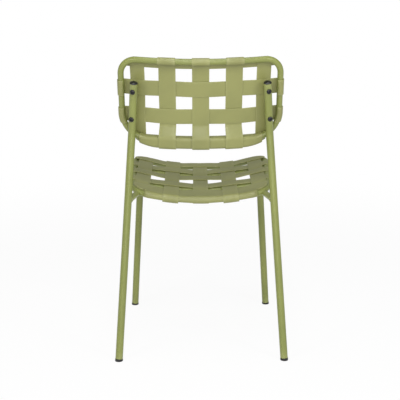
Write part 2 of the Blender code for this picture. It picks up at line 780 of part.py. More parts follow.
def build_back_bands(shop):
    bottom, top = back_row_edges()[0], back_row_edges()[3]

    def top_path(v):
        reach = BACK_LINE.reach(v, FLAT_OVER)
        return [Vector((-reach, -STRIP_N, 0)), Vector((reach, -STRIP_N, 0))]

    add_crosswise(shop, "back_top_band", BACK, *top, top_path, OUTER_PARTS)
    reach = BACK_LINE.reach(bottom[1], FLAT_OVER)
    upper, lower = [], []
    steps = 2 * math.ceil(reach / CROSS_STEP)
    for k in range(steps + 1):
        u = reach * (2 * k / steps - 1)
        beyond = max(0.0, abs(u) - BAND_ROUND_FROM)
        rise = BAND_ROUND_R - math.sqrt(BAND_ROUND_R ** 2 - min(beyond, BAND_ROUND_R) ** 2)
        upper.append(Vector((u, bottom[1], -STRIP_N)))
        lower.append(Vector((u, bottom[0] + rise, -STRIP_N)))
    add_strip(shop, "back_bottom_band", BACK, [lower, upper], CROSS_STEP * 2)


def bolt_spot(side, v):
    """A bolt's u and the n of the post's centre line, on the sheet's own normal at height v."""
    post = post_point(side, BACK_CENTRE_UP + v)
    level = BACK.origin + BACK.along * v
    across = post.x
    depth = BACK.bend - (post - level).dot(BACK.towards)
    return BACK.bend * math.atan2(across, depth), math.hypot(across, depth) - BACK.bend


def build_bolt(shop, side, word, v, level, drilled):
    """One bolt with its spacer and cap nut, through a post and two strips."""
    u, post_n = bolt_spot(side, v)
    away = BACK.outwards(u)
    back_n = STRIP_N + STRIP_T / 2
    head_n = post_n + LEG_R + GAP
    sagitta = BACK_OUTER_W ** 2 / (8 * BACK_BEND_R)       # an upright strip is flat across
    nut_n = -back_n - sagitta - GAP
    tip_n = nut_n - NUT_H * 0.55
    hole = (BOLT_R + HOLE_CLEAR) / math.cos(math.pi / BOLT_SIDES)
    tag = f"{level}_{word}"

    def at(n):
        return facing(BACK.place(u, v, n), away)

    dome = [(BOLT_HEAD_R * math.sin(k * math.pi / 8), BOLT_HEAD_H * math.cos(k * math.pi / 8))
            for k in range(5)]
    length = head_n - tip_n
    profile = dome + [(BOLT_HEAD_R, 0.0), (BOLT_R, 0.0), (BOLT_R, -length), (0.0, -length)]
    shop.add(f"back_bolt_{tag}", turned_mesh("bolt", profile, at(head_n), BOLT_SIDES), "bolt")

    deep = back_n + 3 * GAP - post_n
    wall = [(hole, 0.0), (SPACER_R, 0.0), (SPACER_R, deep), (hole, deep), (hole, 0.0)]
    spacer = shop.add(f"back_spacer_{tag}",
                      turned_mesh("spacer", wall, at(post_n - 2 * GAP), BOLT_SIDES), "tube")
    cut(spacer, path_cutter(shop, f"saddle_{tag}", rear_leg_path(side), LEG_R))

    bore = NUT_H * 0.55 + HOLE_CLEAR
    top = [(NUT_R * math.sin(k * math.pi / 8), NUT_H * (0.5 + 0.5 * math.cos(k * math.pi / 8)))
           for k in range(5)]
    nut = top + [(NUT_R, 0.0), (hole, 0.0), (hole, bore), (0.0, bore)]
    shop.add(f"back_nut_{tag}",
             turned_mesh("nut", nut, facing(BACK.place(u, v, nut_n), -away), BOLT_SIDES), "bolt")

    start, end = BACK.place(u, v, head_n + CUTTER_REACH), BACK.place(u, v, nut_n - CUTTER_REACH)
    drill = rod_cutter(shop, f"drill_{tag}", start, end, BOLT_R, BOLT_SIDES)
    for obj in drilled:
        cut(obj, drill)


# ---------------------------------------------------------------- assembly

def centre_over_origin(shop):
    """Move the whole chair along Y so that its box is centred over the world's origin."""
    depsgraph = bpy.context.evaluated_depsgraph_get()
    depsgraph.update()
    reach = []
    for obj in shop.parts.objects:
        if obj.type == "MESH":
            seen = obj.evaluated_get(depsgraph)
            reach.extend((obj.matrix_world @ vert.co).y for vert in seen.data.vertices)
    shop.origin.location.y = -(min(reach) + max(reach)) / 2


def main():
    clear_scene()
    shop = Workshop()
    build_seat_long_strips(shop)
    build_seat_cross_strips(shop)
    add_loop(shop, "seat_frame", SEAT, SEAT_LINE)
    build_seat_bars(shop)
    add_loop(shop, "back_frame", BACK, BACK_LINE)
    uprights = build_back_uprights(shop)
    rows = build_back_rows(shop)
    build_back_bands(shop)
    for side, word in ((1, "left"), (-1, "right")):
        leg = build_rear_leg(shop, side, word)
        build_link(shop, side, word)
        build_front_leg(shop, side, word)
        upright = uprights[-1] if side > 0 else uprights[0]
        for level, row, v in (("lower", rows[0], -BACK_ROW_PITCH / 2),
                              ("upper", rows[1], BACK_ROW_PITCH / 2)):
            build_bolt(shop, side, word, v, level, (leg, upright, row))
    centre_over_origin(shop)


main()
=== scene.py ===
"""Looks for a stacking chair of bent tube with a seat and a backrest of interlaced flat strips.

Every painted piece is modelled again at a finer grain over its solid: strips with rounded edges,
round tubes, weld beads, domed plugs, levelled feet and socket-head bolts with cap nuts.
A place on a woven sheet is (u, v, n): u across along the bend, v along the straight direction,
and n away from the sitter.
"""

import json
import logging
import math
from dataclasses import dataclass, field
from enum import Enum
from typing import Any, Callable, Optional, Sequence

import bpy
from mathutils import Matrix, Quaternion, Vector


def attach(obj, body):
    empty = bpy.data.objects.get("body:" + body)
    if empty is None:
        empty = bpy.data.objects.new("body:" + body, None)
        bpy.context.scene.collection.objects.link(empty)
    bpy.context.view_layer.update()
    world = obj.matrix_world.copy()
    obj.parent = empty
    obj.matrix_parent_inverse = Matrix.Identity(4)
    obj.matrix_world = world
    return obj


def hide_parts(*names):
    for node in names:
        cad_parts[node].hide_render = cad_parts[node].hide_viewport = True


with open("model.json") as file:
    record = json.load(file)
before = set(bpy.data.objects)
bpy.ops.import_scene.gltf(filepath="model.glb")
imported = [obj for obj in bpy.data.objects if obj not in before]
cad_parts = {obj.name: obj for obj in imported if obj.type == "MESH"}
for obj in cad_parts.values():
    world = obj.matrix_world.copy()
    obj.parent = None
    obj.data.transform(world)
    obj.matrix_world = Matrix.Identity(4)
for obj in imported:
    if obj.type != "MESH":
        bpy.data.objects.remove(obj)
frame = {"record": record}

LOG = logging.getLogger("chair")
Line = list[Vector]


# ---------------------------------------------------------------- shader tools

class Signal:
    """A shader socket that can be used in Python arithmetic."""

    def __init__(self, paint: "Paint", socket: bpy.types.NodeSocket) -> None:
        """Hold a socket.

        Args:
            paint: the material that the socket is in.
            socket: the output to calculate with.
        """
        self.paint = paint
        self.socket = socket

    def _with(self, operation: str, first: Any, second: Any) -> "Signal":
        """Add one Math node.

        Args:
            operation: the node's operation.
            first: its first value or signal.
            second: its second value or signal.

        Returns:
            The node's result.
        """
        return self.paint.node("ShaderNodeMath", {"operation": operation}, {0: first, 1: second})

    def __add__(self, other: Any) -> "Signal":
        """Add a number or a signal."""
        return self._with("ADD", self, other)

    __radd__ = __add__

    def __mul__(self, other: Any) -> "Signal":
        """Multiply by a number or a signal."""
        return self._with("MULTIPLY", self, other)

    __rmul__ = __mul__

    def __sub__(self, other: Any) -> "Signal":
        """Take away a number or a signal."""
        return self._with("SUBTRACT", self, other)

    def __rsub__(self, other: Any) -> "Signal":
        """Take this signal away from a number."""
        return self._with("SUBTRACT", other, self)

    def between(self, low: float, high: float) -> "Signal":
        """Map low to 0 and high to 1, smoothly.

        Args:
            low: the value that gives 0.
            high: the value that gives 1.

        Returns:
            The smooth step.
        """
        return self.paint.node("ShaderNodeMapRange", {"interpolation_type": "SMOOTHSTEP"},
                               {"Value": self, "From Min": low, "From Max": high})


class Paint:
    """One material and the nodes that are added to it."""

    def __init__(self, name: str) -> None:
        """Start a material with its Principled shader.

        Args:
            name: the material's name.
        """
        self.material = bpy.data.materials.new(name)
        self.material.use_nodes = True
        self.tree = self.material.node_tree
        self.shader = self.tree.nodes["Principled BSDF"]
        self.output = self.tree.nodes["Material Output"]

    def node(self, kind: str, settings: dict[str, Any], sockets: dict[Any, Any],
             out: Any = 0) -> Signal:
        """Add any node.

        Args:
            kind: the node's type.
            settings: attributes that are set first.
            sockets: input name or number to a value or a signal.
            out: which output the signal is.

        Returns:
            The chosen output.
        """
        made = self.tree.nodes.new(kind)
        for key, value in settings.items():
            setattr(made, key, value)
        for key, value in sockets.items():
            self.join(value, made.inputs[key])
        return Signal(self, made.outputs[out])

    def join(self, value: Any, socket: bpy.types.NodeSocket) -> None:
        """Link a signal to a socket, or set a plain value on it.

        Args:
            value: a signal, a number or a colour.
            socket: the input that takes it.
        """
        if isinstance(value, Signal):
            self.tree.links.new(value.socket, socket)
        else:
            socket.default_value = value

    def set(self, **sockets: Any) -> None:
        """Set the Principled shader's inputs; an underscore in a name stands for a space."""
        for key, value in sockets.items():
            self.join(value, self.shader.inputs[key.replace("_", " ")])

    def place(self) -> Signal:
        """Return the Object coordinates."""
        return self.node("ShaderNodeTexCoord", {}, {}, "Object")

    def noise(self, scale: float, detail: float = 2.0, roughness: float = 0.5) -> Signal:
        """Add a noise pattern on Object coordinates.

        Args:
            scale: cells for each metre.
            detail: how many finer layers it has.
            roughness: how strong the finer layers are.

        Returns:
            The pattern's value.
        """
        return self.node("ShaderNodeTexNoise", {}, {"Vector": self.place(), "Scale": scale,
                                                    "Detail": detail, "Roughness": roughness})

    def blend(self, factor: Any, first: Any, second: Any) -> Signal:
        """Mix two colours.

        Args:
            factor: 0 for the first, 1 for the second.
            first: a colour or a signal.
            second: a colour or a signal.

        Returns:
            The mixed colour.
        """
        made = self.tree.nodes.new("ShaderNodeMix")
        made.data_type = "RGBA"
        self.join(factor, made.inputs[0])
        self.join(first, made.inputs[6])
        self.join(second, made.inputs[7])
        return Signal(self, made.outputs[2])

    def bump(self, height: Signal, strength: float, distance: float) -> Signal:
        """Turn a height pattern into a normal.

        Args:
            height: the pattern.
            strength: how far the normal leans.
            distance: the height in metres that 1 stands for.

        Returns:
            The normal.
        """
        return self.node("ShaderNodeBump", {}, {"Height": height, "Strength": strength,
                                                "Distance": distance})


# ---------------------------------------------------------------- finishes

@dataclass(frozen=True)
class PowderCoat:
    """Olive green powder coat: fine orange peel, slow drift of colour, and sharp edges painted lighter as
    a painted highlight.
    """

    colour: tuple[float, float, float, float] = (0.243, 0.249, 0.084, 1.0)
    deep: tuple[float, float, float, float] = (0.212, 0.219, 0.074, 1.0)
    # lighter colour painted on sharp edges: a painted highlight, not a paint colour
    edge_highlight: tuple[float, float, float, float] = (0.460, 0.475, 0.230, 1.0)
    peel_scale: float = 620.0
    fleck_scale: float = 2400.0
    roughness: float = 0.40
    # how strongly the painted edge highlight shows
    edge: float = 0.85

    def build(self, name: str) -> bpy.types.Material:
        """Make the material.

        Args:
            name: the material's name.

        Returns:
            The material.
        """
        paint = Paint(name)
        drift = paint.noise(7.0, 3.0)
        peel = paint.noise(self.peel_scale, 2.0)
        fleck = paint.noise(self.fleck_scale, 1.0)
        body = paint.blend(drift.between(0.35, 0.70), self.deep, self.colour)
        # sharp edges are painted lighter: a painted highlight along the edges
        sharp = paint.node("ShaderNodeNewGeometry", {}, {}, "Pointiness").between(0.515, 0.60)
        coat = paint.blend(sharp * self.edge, body, self.edge_highlight)
        scuff = paint.noise(38.0, 4.0, 0.6).between(0.60, 0.75)
        rough = (peel - 0.5) * 0.10 + fleck * 0.06 + scuff * 0.07 + (self.roughness - 0.03)
        paint.set(Base_Color=coat, Roughness=rough, Metallic=0.0,
                  Normal=paint.bump(peel * 0.7 + fleck * 0.3, 0.22, 0.00012))
        return paint.material


@dataclass(frozen=True)
class MouldedPlastic:
    """Black moulded plastic with a fine spark-eroded grain and a few dusty scuffs."""

    colour: tuple[float, float, float, float] = (0.010, 0.010, 0.010, 1.0)
    dusty: tuple[float, float, float, float] = (0.045, 0.044, 0.040, 1.0)
    grain_scale: float = 1500.0
    roughness: float = 0.36

    def build(self, name: str) -> bpy.types.Material:
        """Make the material.

        Args:
            name: the material's name.

        Returns:
            The material.
        """
        paint = Paint(name)
        grain = paint.noise(self.grain_scale, 2.0)
        dust = paint.noise(90.0, 4.0, 0.65).between(0.55, 0.80)
        paint.set(Base_Color=paint.blend(dust * 0.6, self.colour, self.dusty),
                  Roughness=dust * 0.22 + (grain - 0.5) * 0.12 + self.roughness,
                  Normal=paint.bump(grain, 0.20, 0.00010))
        return paint.material


@dataclass(frozen=True)
class BlackSteel:
    """Blackened steel fastener: nearly black, with a satin sheen and brighter worn edges."""

    colour: tuple[float, float, float, float] = (0.008, 0.008, 0.009, 1.0)
    worn: tuple[float, float, float, float] = (0.100, 0.098, 0.094, 1.0)
    roughness: float = 0.12

    def build(self, name: str) -> bpy.types.Material:
        """Make the material.

        Args:
            name: the material's name.

        Returns:
            The material.
        """
        paint = Paint(name)
        mottle = paint.noise(420.0, 3.0)
        sharp = paint.node("ShaderNodeNewGeometry", {}, {}, "Pointiness").between(0.54, 0.66)
        paint.set(Base_Color=paint.blend(sharp * 0.4, self.colour, self.worn), Metallic=0.25,
                  Roughness=(mottle - 0.5) * 0.16 + self.roughness,
                  Normal=paint.bump(mottle, 0.12, 0.00008))
        return paint.material


@dataclass(frozen=True)
class StudioSheet:
    """White studio floor that shows as white and still takes a faint shadow near the chair."""

    colour: tuple[float, float, float, float] = (0.86, 0.86, 0.86, 1.0)
    lit_near: float = 0.92
    near: float = 0.75
    far: float = 2.2

    def build(self, name: str) -> bpy.types.Material:
        """Make the material.

        Args:
            name: the material's name.

        Returns:
            The material.
        """
        paint = Paint(name)
        paint.set(Base_Color=self.colour, Roughness=0.9, Specular_IOR_Level=0.0)
        reach = paint.node("ShaderNodeVectorMath", {"operation": "LENGTH"}, {0: paint.place()},
                           "Value")
        share = reach.between(self.near, self.far) * (1.0 - self.lit_near) + self.lit_near
        seen = paint.node("ShaderNodeLightPath", {}, {}, "Is Camera Ray")
        seen = seen + paint.node("ShaderNodeLightPath", {}, {}, "Is Glossy Ray")
        white = paint.node("ShaderNodeEmission", {}, {"Color": (1.0, 1.0, 1.0, 1.0)})
        mixed = paint.node("ShaderNodeMixShader", {}, {0: share * seen.between(0.0, 1.0),
                                                       1: Signal(paint, paint.shader.outputs[0]),
                                                       2: white})
        paint.tree.links.new(mixed.socket, paint.output.inputs[0])
        return paint.material


class Look(Enum):
    """The finishes of the chair."""

    STRIP = "green_strip"
    TUBE = "green_tube"
    PLASTIC = "black_plastic"
    STEEL = "black_steel"


class Finishes:
    """Makes each finish once and puts it on pieces."""

    def __init__(self) -> None:
        """Make the materials."""
        self.made: dict[Look, bpy.types.Material] = {
            Look.STRIP: PowderCoat().build("powder_coat_strip"),
            # tubes: a slightly different green, with only a weak painted edge highlight (edge=0.15)
            Look.TUBE: PowderCoat(colour=(0.226, 0.252, 0.066, 1.0), deep=(0.188, 0.212, 0.054, 1.0),
                                  edge=0.15, roughness=0.36).build("powder_coat_tube"),
            Look.PLASTIC: MouldedPlastic().build("moulded_plastic"),
            Look.STEEL: BlackSteel().build("blackened_steel"),
        }

    def dress(self, obj: bpy.types.Object, look: Look) -> None:
        """Give a piece its finish.

        Args:
            obj: the piece.
            look: which finish.
        """
        obj.data.materials.clear()
        obj.data.materials.append(self.made[look])


# ---------------------------------------------------------------- bench tools

def deselect() -> None:
    """Leave edit mode and select nothing."""
    if bpy.context.object and bpy.context.object.mode != "OBJECT":
        bpy.ops.object.mode_set(mode="OBJECT")
    bpy.ops.object.select_all(action="DESELECT")


def only(obj: bpy.types.Object) -> None:
    """Make one object the selected and active one."""
    deselect()
    obj.select_set(True)
    bpy.context.view_layer.objects.active = obj


def facing(point: Vector, axis: Vector) -> Matrix:
    """Return the placing that lays a piece's Z along an axis at a point.

    Args:
        point: where the piece's origin goes.
        axis: where its Z points.

    Returns:
        The placing.
    """
    return Matrix.Translation(point) @ axis.to_track_quat("Z", "Y").to_matrix().to_4x4()


def fillet(points: Sequence[Vector], radii: Sequence[float], step: float) -> Line:
    """Round the inner corners of a path.

    Args:
        points: the path's corners.
        radii: one radius for each inner corner.
        step: the largest turn between two points, in radians.

    Returns:
        The rounded path.
    """
    out = [points[0]]
    for before, corner, after, radius in zip(points, points[1:], points[2:], radii):
        a, b = (before - corner).normalized(), (after - corner).normalized()
        turn = math.pi - a.angle(b)
        if radius <= 0.0 or turn < math.radians(0.5):
            out.append(corner)
            continue
        centre = corner + (a + b).normalized() * (radius / math.cos(turn / 2))
        reach = radius * math.tan(turn / 2)
        start = corner + a * reach - centre
        side = ((corner + b * reach - centre) - start * math.cos(turn)).normalized()
        count = max(2, math.ceil(turn / step))
        for k in range(count + 1):
            angle = turn * k / count
            out.append(centre + start * math.cos(angle) + side * (radius * math.sin(angle)))
    out.append(points[-1])
    return [out[0]] + [b for a, b in zip(out, out[1:]) if (b - a).length > 0.00001]


def split(points: Sequence[Vector], longest: float) -> Line:
    """Add points so that no stretch is longer than this.

    Args:
        points: the path.
        longest: the longest stretch, in metres.

    Returns:
        The finer path.
    """
    out = [points[0]]
    for a, b in zip(points, points[1:]):
        count = max(1, math.ceil((b - a).length / longest - 1e-6))
        out.extend(a.lerp(b, k / count) for k in range(1, count + 1))
    return out


@dataclass
class Bench:
    """Models, finishes and registers the pieces.

    Attributes:
        finishes: the chair's finishes.
        strip_thickness: thickness of the flat strips.
        strip_edge: rounding of their edges.
        tube_sides: sides of a round tube.
    """

    finishes: Finishes
    strip_thickness: float = 0.0015
    strip_edge: float = 0.00045
    tube_sides: int = 28

    def finish(self, obj: bpy.types.Object, name: str, look: Look, nodes: Sequence[str] = (),
               angle: float = 38.0) -> bpy.types.Object:
        """Name a piece, dress it and register it with the frame.

        Args:
            obj: the piece.
            name: its name.
            look: its finish.
            nodes: the solids that it stands for.
            angle: edges sharper than this stay sharp, in degrees.

        Returns:
            The piece.
        """
        obj.name = name
        obj.data.name = name
        only(obj)
        bpy.ops.object.shade_smooth_by_angle(angle=math.radians(angle))
        self.finishes.dress(obj, look)
        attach(obj, "root")
        if nodes:
            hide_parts(*nodes)
        LOG.info("%s: %d faces", name, len(obj.data.polygons))
        deselect()
        return obj

    def apply(self, obj: bpy.types.Object, kind: str, **settings: Any) -> None:
        """Add a modifier and apply it.

        Args:
            obj: the piece.
            kind: the modifier's type.
            settings: its settings.
        """
        only(obj)
        modifier = obj.modifiers.new(kind.lower(), kind)
        for key, value in settings.items():
            setattr(modifier, key, value)
        bpy.ops.object.modifier_apply(modifier=modifier.name)

    def outwards(self, obj: bpy.types.Object) -> None:
        """Merge doubles and turn every face outwards."""
        only(obj)
        bpy.ops.object.mode_set(mode="EDIT")
        bpy.ops.mesh.select_all(action="SELECT")
        bpy.ops.mesh.remove_doubles(threshold=0.00001)
        bpy.ops.mesh.normals_make_consistent(inside=False)
        bpy.ops.object.mode_set(mode="OBJECT")

    def strip(self, name: str, sheet: "Sheet", lines: Sequence[Line],
              nodes: Sequence[str]) -> bpy.types.Object:
        """Bend a flat grid on its sheet, thicken it and round its edges.

        Args:
            name: the strip's name.
            sheet: the sheet that it lies on.
            lines: places (u, v, n) along the strip, the lines going across it.
            nodes: the solids that it stands for.

        Returns:
            The strip.
        """
        deselect()
        long, across = len(lines[0]) - 1, len(lines) - 1
        bpy.ops.mesh.primitive_grid_add(x_subdivisions=long, y_subdivisions=across, size=1.0)
        obj = bpy.context.object
        spots = [sheet.place(*line[k]) for k in range(long + 1) for line in lines]
        order = sorted(obj.data.vertices, key=lambda vert: (round(vert.co.x, 5), vert.co.y))
        for vert, spot in zip(order, spots, strict=True):
            vert.co = spot
        self.apply(obj, "SOLIDIFY", thickness=self.strip_thickness, offset=0.0,
                   use_even_offset=True)
        self.outwards(obj)
        self.apply(obj, "BEVEL", width=self.strip_edge, segments=2, limit_method="ANGLE",
                   angle_limit=math.radians(60.0), harden_normals=False)
        return self.finish(obj, name, Look.STRIP, nodes)

    def tube(self, name: str, path: Sequence[Vector], radius: float, look: Look = Look.TUBE,
             nodes: Sequence[str] = (), closed: bool = False) -> bpy.types.Object:
        """Sweep a round section along a path.

        Args:
            name: the tube's name.
            path: its centre line.
            radius: its radius.
            look: its finish.
            nodes: the solids that it stands for.
            closed: whether the path is a loop.

        Returns:
            The tube.
        """
        deselect()
        curve = bpy.data.curves.new(name, "CURVE")
        curve.dimensions = "3D"
        curve.bevel_depth = radius
        curve.bevel_resolution = (self.tube_sides - 4) // 2
        curve.use_fill_caps = not closed
        spline = curve.splines.new("POLY")
        spline.points.add(len(path) - 1)
        for spot, point in zip(spline.points, path):
            spot.co = (*point, 1.0)
        spline.use_cyclic_u = closed
        obj = bpy.data.objects.new(name, curve)
        bpy.context.scene.collection.objects.link(obj)
        only(obj)
        bpy.ops.object.convert(target="MESH")
        obj = bpy.context.object
        self.outwards(obj)
        return self.finish(obj, name, look, nodes, 45.0)

    def turned(self, name: str, profile: Sequence[tuple[float, float]], place: Matrix, look: Look,
               nodes: Sequence[str] = (), sides: int = 40) -> bpy.types.Object:
        """Raise a disc step by step into a round piece.

        Args:
            name: the piece's name.
            profile: (radius, height) from the lowest disc upwards.
            place: where the piece's own origin and Z go.
            look: its finish.
            nodes: the solids that it stands for.
            sides: how many sides the disc has.

        Returns:
            The piece.
        """
        obj = self.raised(profile, sides)
        obj.data.transform(place)
        self.outwards(obj)
        return self.finish(obj, name, look, nodes)

    def raised(self, profile: Sequence[tuple[float, float]], sides: int) -> bpy.types.Object:
        """Extrude and scale a disc along a profile round the world's Z.

        Args:
            profile: (radius, height) from the lowest disc upwards.
            sides: how many sides the disc has.

        Returns:
            The raised piece, still at the origin.
        """
        deselect()
        radius, height = profile[0]
        bpy.ops.mesh.primitive_circle_add(vertices=sides, radius=radius, fill_type="NGON",
                                          location=(0, 0, 0))
        obj = bpy.context.object
        bpy.ops.object.mode_set(mode="EDIT")
        bpy.ops.mesh.select_all(action="SELECT")
        bpy.ops.transform.translate(value=(0, 0, height))
        for (r0, z0), (r1, z1) in zip(profile, profile[1:]):
            bpy.ops.mesh.extrude_region_move(TRANSFORM_OT_translate={"value": (0, 0, z1 - z0)})
            if abs(r1 / r0 - 1.0) > 1e-6:
                bpy.ops.transform.resize(value=(r1 / r0, r1 / r0, 1.0), center_override=(0, 0, z1))
        bpy.ops.object.mode_set(mode="OBJECT")
        return obj


# ---------------------------------------------------------------- woven sheets

@dataclass
class Sheet:
    """A sheet bent across u about an axis on the sitter's side.

    Attributes:
        bend: radius of the bend.
        origin: the point at u = v = n = 0.
        along: direction of v.
        towards: direction to the sitter.
    """

    bend: float
    origin: Vector
    along: Vector
    towards: Vector

    def place(self, u: float, v: float, n: float) -> Vector:
        """Return the point at u, v and n."""
        turn = u / self.bend
        rise = self.bend - (self.bend + n) * math.cos(turn)
        return (self.origin + Vector(((self.bend + n) * math.sin(turn), 0, 0)) + self.along * v
                + self.towards * rise)

    def away(self, u: float) -> Vector:
        """Return the direction away from the sitter at u."""
        return (self.place(u, 0.0, 1.0) - self.place(u, 0.0, 0.0)).normalized()


@dataclass
class Loop:
    """A tube loop's centre line: a trapezoid with round corners.

    Attributes:
        low: v of the lower side.
        high: v of the upper side.
        half_low: half the width at the lower side.
        half_high: half the width at the upper side.
        corner_low: radius of the lower corners.
        corner_high: radius of the upper corners.
    """

    low: float
    high: float
    half_low: float
    half_high: float
    corner_low: float
    corner_high: float

    def half(self, v: float) -> float:
        """Return half the width between the straight sides at v."""
        return self.half_low + (self.half_high - self.half_low) * (v - self.low) / (
            self.high - self.low)

    def path(self) -> Line:
        """Return the closed centre line as (u, v, 0)."""
        corners = [(self.half_low, self.low), (self.half_high, self.high),
                   (-self.half_high, self.high), (-self.half_low, self.low)]
        radii = [self.corner_low, self.corner_high, self.corner_high, self.corner_low]
        points = [Vector((0.0, self.low, 0))] + [Vector((*c, 0)) for c in corners]
        points.append(Vector((0.0, self.low, 0)))
        return split(fillet(points, radii, math.radians(5.0)), 0.010)[:-1]

    def reach(self, v: float, over: float) -> float:
        """Return how far out the centre line is at v.

        Args:
            v: the height on the sheet.
            over: how far past the centre line to go.

        Returns:
            The distance from the middle.
        """
        for edge, corner, inside in ((self.low, self.corner_low, 1), (self.high, self.corner_high, -1)):
            centre_v = edge + inside * corner
            depth = (centre_v - v) * inside
            if depth > 0.0:
                radius = corner + over
                spread = math.sqrt(max(radius * radius - depth * depth, (radius * 0.25) ** 2))
                return self.half(centre_v) - corner + spread
        return self.half(v) + over

    def end(self, u: float, side: int, over: float) -> float:
        """Return the v at which the centre line passes u on the low (-1) or high (1) side.

        Args:
            u: the place across.
            side: -1 for the low side, 1 for the high side.
            over: how far past the centre line to go.

        Returns:
            The place along.
        """
        edge, corner = (self.low, self.corner_low) if side < 0 else (self.high, self.corner_high)
        centre_v = edge - side * corner
        spread = abs(u) - (self.half(centre_v) - corner)
        radius = corner + over
        if spread <= 0.0:
            return edge + side * over
        return centre_v + side * math.sqrt(max(radius * radius - spread * spread, 0.0))

    def lean(self, v: float) -> float:
        """Return how much a level cut through the side tube is stretched at v, 1 on the straight."""
        off = max(0.0, self.low + self.corner_low - v)
        return 1.0 / math.sqrt(max(1.0 - (off / self.corner_low) ** 2, 0.4))


@dataclass
class Weave:
    """How strips pass over and under each other and round a loop.

    Attributes:
        strip_n: a strip's offset at a crossing.
        tube_n: the loop's offset behind the sheet.
        past: how far a wrapped end follows its tube after the half turn, in radians.
        settle: stretch of a strip that lies on its tube before it wraps.
        hug: how much closer to its tube a strip lies once it has turned over it.
        arc_parts: parts of a wrapped end.
        gap_parts: parts of the step between two crossings.
    """

    strip_n: float = 0.0010
    tube_n: float = 0.01045
    past: float = math.radians(50.0)
    settle: float = 0.001
    hug: float = 0.0003
    arc_parts: int = 22
    gap_parts: int = 8

    def wrap(self, edge: float, side: int, n: float, stretch: float = 1.0) -> Line:
        """Follow a tube from the sheet outwards.

        Args:
            edge: the tube's centre line.
            side: -1 or 1, the way out.
            n: the strip's offset where it leaves the sheet.
            stretch: how much longer the cut through the tube is than it is deep.

        Returns:
            Flat (along, n) points.
        """
        total = math.pi + self.past
        points = []
        for k in range(self.arc_parts + 1):
            turn = total * k / self.arc_parts
            radius = self.tube_n - n - self.hug * min(1.0, turn / math.radians(60.0))
            points.append(Vector((edge + side * radius * stretch * math.sin(turn),
                                  self.tube_n - radius * math.cos(turn), 0.0)))
        return points

    def path(self, crossings: Sequence[tuple[float, float, float]], low: Line, high: Line) -> Line:
        """Join crossings by smooth steps, with an end at each side.

        Args:
            crossings: (start, end, n) in order.
            low: the lower end, from the sheet outwards.
            high: the upper end, from the sheet outwards.

        Returns:
            Flat (along, n) points.
        """
        out = list(reversed(low))
        for k, (start, end, n) in enumerate(crossings):
            if k:
                before, before_n = crossings[k - 1][1:]
                for part in range(self.gap_parts + 1):
                    share = part / self.gap_parts
                    ease = share * share * (3.0 - 2.0 * share)
                    out.append(Vector((before + (start - before) * share,
                                       before_n + (n - before_n) * ease, 0.0)))
                if k < len(crossings) - 1:
                    out.append(Vector(((start + end) / 2, n, 0.0)))
        out.extend(high)
        return out

    def settled(self, crossings: Sequence[tuple[float, float, float]], low: Optional[float] = None,
                high: Optional[float] = None) -> list[tuple[float, float, float]]:
        """Let a strip that stands off its tube dip to it before it wraps.

        Args:
            crossings: (start, end, n) in order.
            low: the tube's centre line at the lower end.
            high: the tube's centre line at the upper end.

        Returns:
            The crossings with the added stretches.
        """
        out = list(crossings)
        if low is not None and crossings[0][2] != self.strip_n:
            out.insert(0, (low, low + self.settle, self.strip_n))
        if high is not None and crossings[-1][2] != self.strip_n:
            out.append((high - self.settle, high, self.strip_n))
        return out


def spread(low: float, high: float, parts: int) -> list[float]:
    """Return parts + 1 even places from low to high."""
    return [low + (high - low) * k / parts for k in range(parts + 1)]


def lengthwise(places: Sequence[float], path_at: Callable[[float], Line]) -> list[Line]:
    """Return a strip's lines along v, one for each u.

    Args:
        places: the lines' u.
        path_at: gives the flat path at u.

    Returns:
        The lines as (u, v, n).
    """
    return [[Vector((u, p.x, p.y)) for p in path_at(u)] for u in places]


def crosswise(places: Sequence[float], path_at: Callable[[float], Line]) -> list[Line]:
    """Return a strip's lines along u, one for each v.

    Args:
        places: the lines' v.
        path_at: gives the flat path at v.

    Returns:
        The lines as (u, v, n).
    """
    return [[Vector((p.x, v, p.y)) for p in path_at(v)] for v in places]


# ---------------------------------------------------------------- rear legs

@dataclass
class RearLegs:
    """The two rear legs, which run up past the seat and recline to carry the backrest.

    Attributes:
        feet_y: y of the rear feet.
    """

    feet_y: float
    radius: float = 0.010
    foot_x: float = 0.2228
    splay: float = 0.0697
    bend_z: float = 0.610
    bend_forward: float = 0.0624
    bend_radius: float = 0.060
    recline: float = math.radians(16.0)
    post_length: float = 0.1405
    foot_base: float = 0.0060

    def leg_point(self, side: int, z: float) -> Vector:
        """Return the leg's centre line at height z, below the bend."""
        return Vector((side * (self.foot_x - self.splay * z),
                       self.feet_y - self.bend_forward * z / self.bend_z, z))

    def post_point(self, side: int, up: float) -> Vector:
        """Return the post's centre line at a distance up from the bend."""
        z = self.bend_z + up * math.cos(self.recline)
        return Vector((side * (self.foot_x - self.splay * z),
                       self.feet_y - self.bend_forward + up * math.sin(self.recline), z))

    def path(self, side: int) -> Line:
        """Return the leg's centre line from the foot to the top."""
        corners = [self.leg_point(side, self.foot_base), self.leg_point(side, self.bend_z),
                   self.post_point(side, self.post_length)]
        return split(fillet(corners, [self.bend_radius], math.radians(2.0)), 0.020)

    def build(self, bench: Bench, ends: "TubeEnds") -> None:
        """Build both legs with their feet and caps.

        Args:
            bench: where the pieces are made.
            ends: the plugs' sizes.
        """
        for side, word in ((1, "left"), (-1, "right")):
            bench.tube(f"leg_rear_{word}", self.path(side), self.radius,
                       nodes=[f"rear_leg_{word}"])
            foot = self.leg_point(side, 0.0)
            ends.foot(bench, f"glide_rear_{word}", foot, self.leg_point(side, self.bend_z) - foot,
                      f"rear_foot_{word}")
            top = self.post_point(side, self.post_length)
            ends.cap(bench, f"cap_post_{word}", top, top - self.post_point(side, 0.0),
                     f"post_cap_{word}")


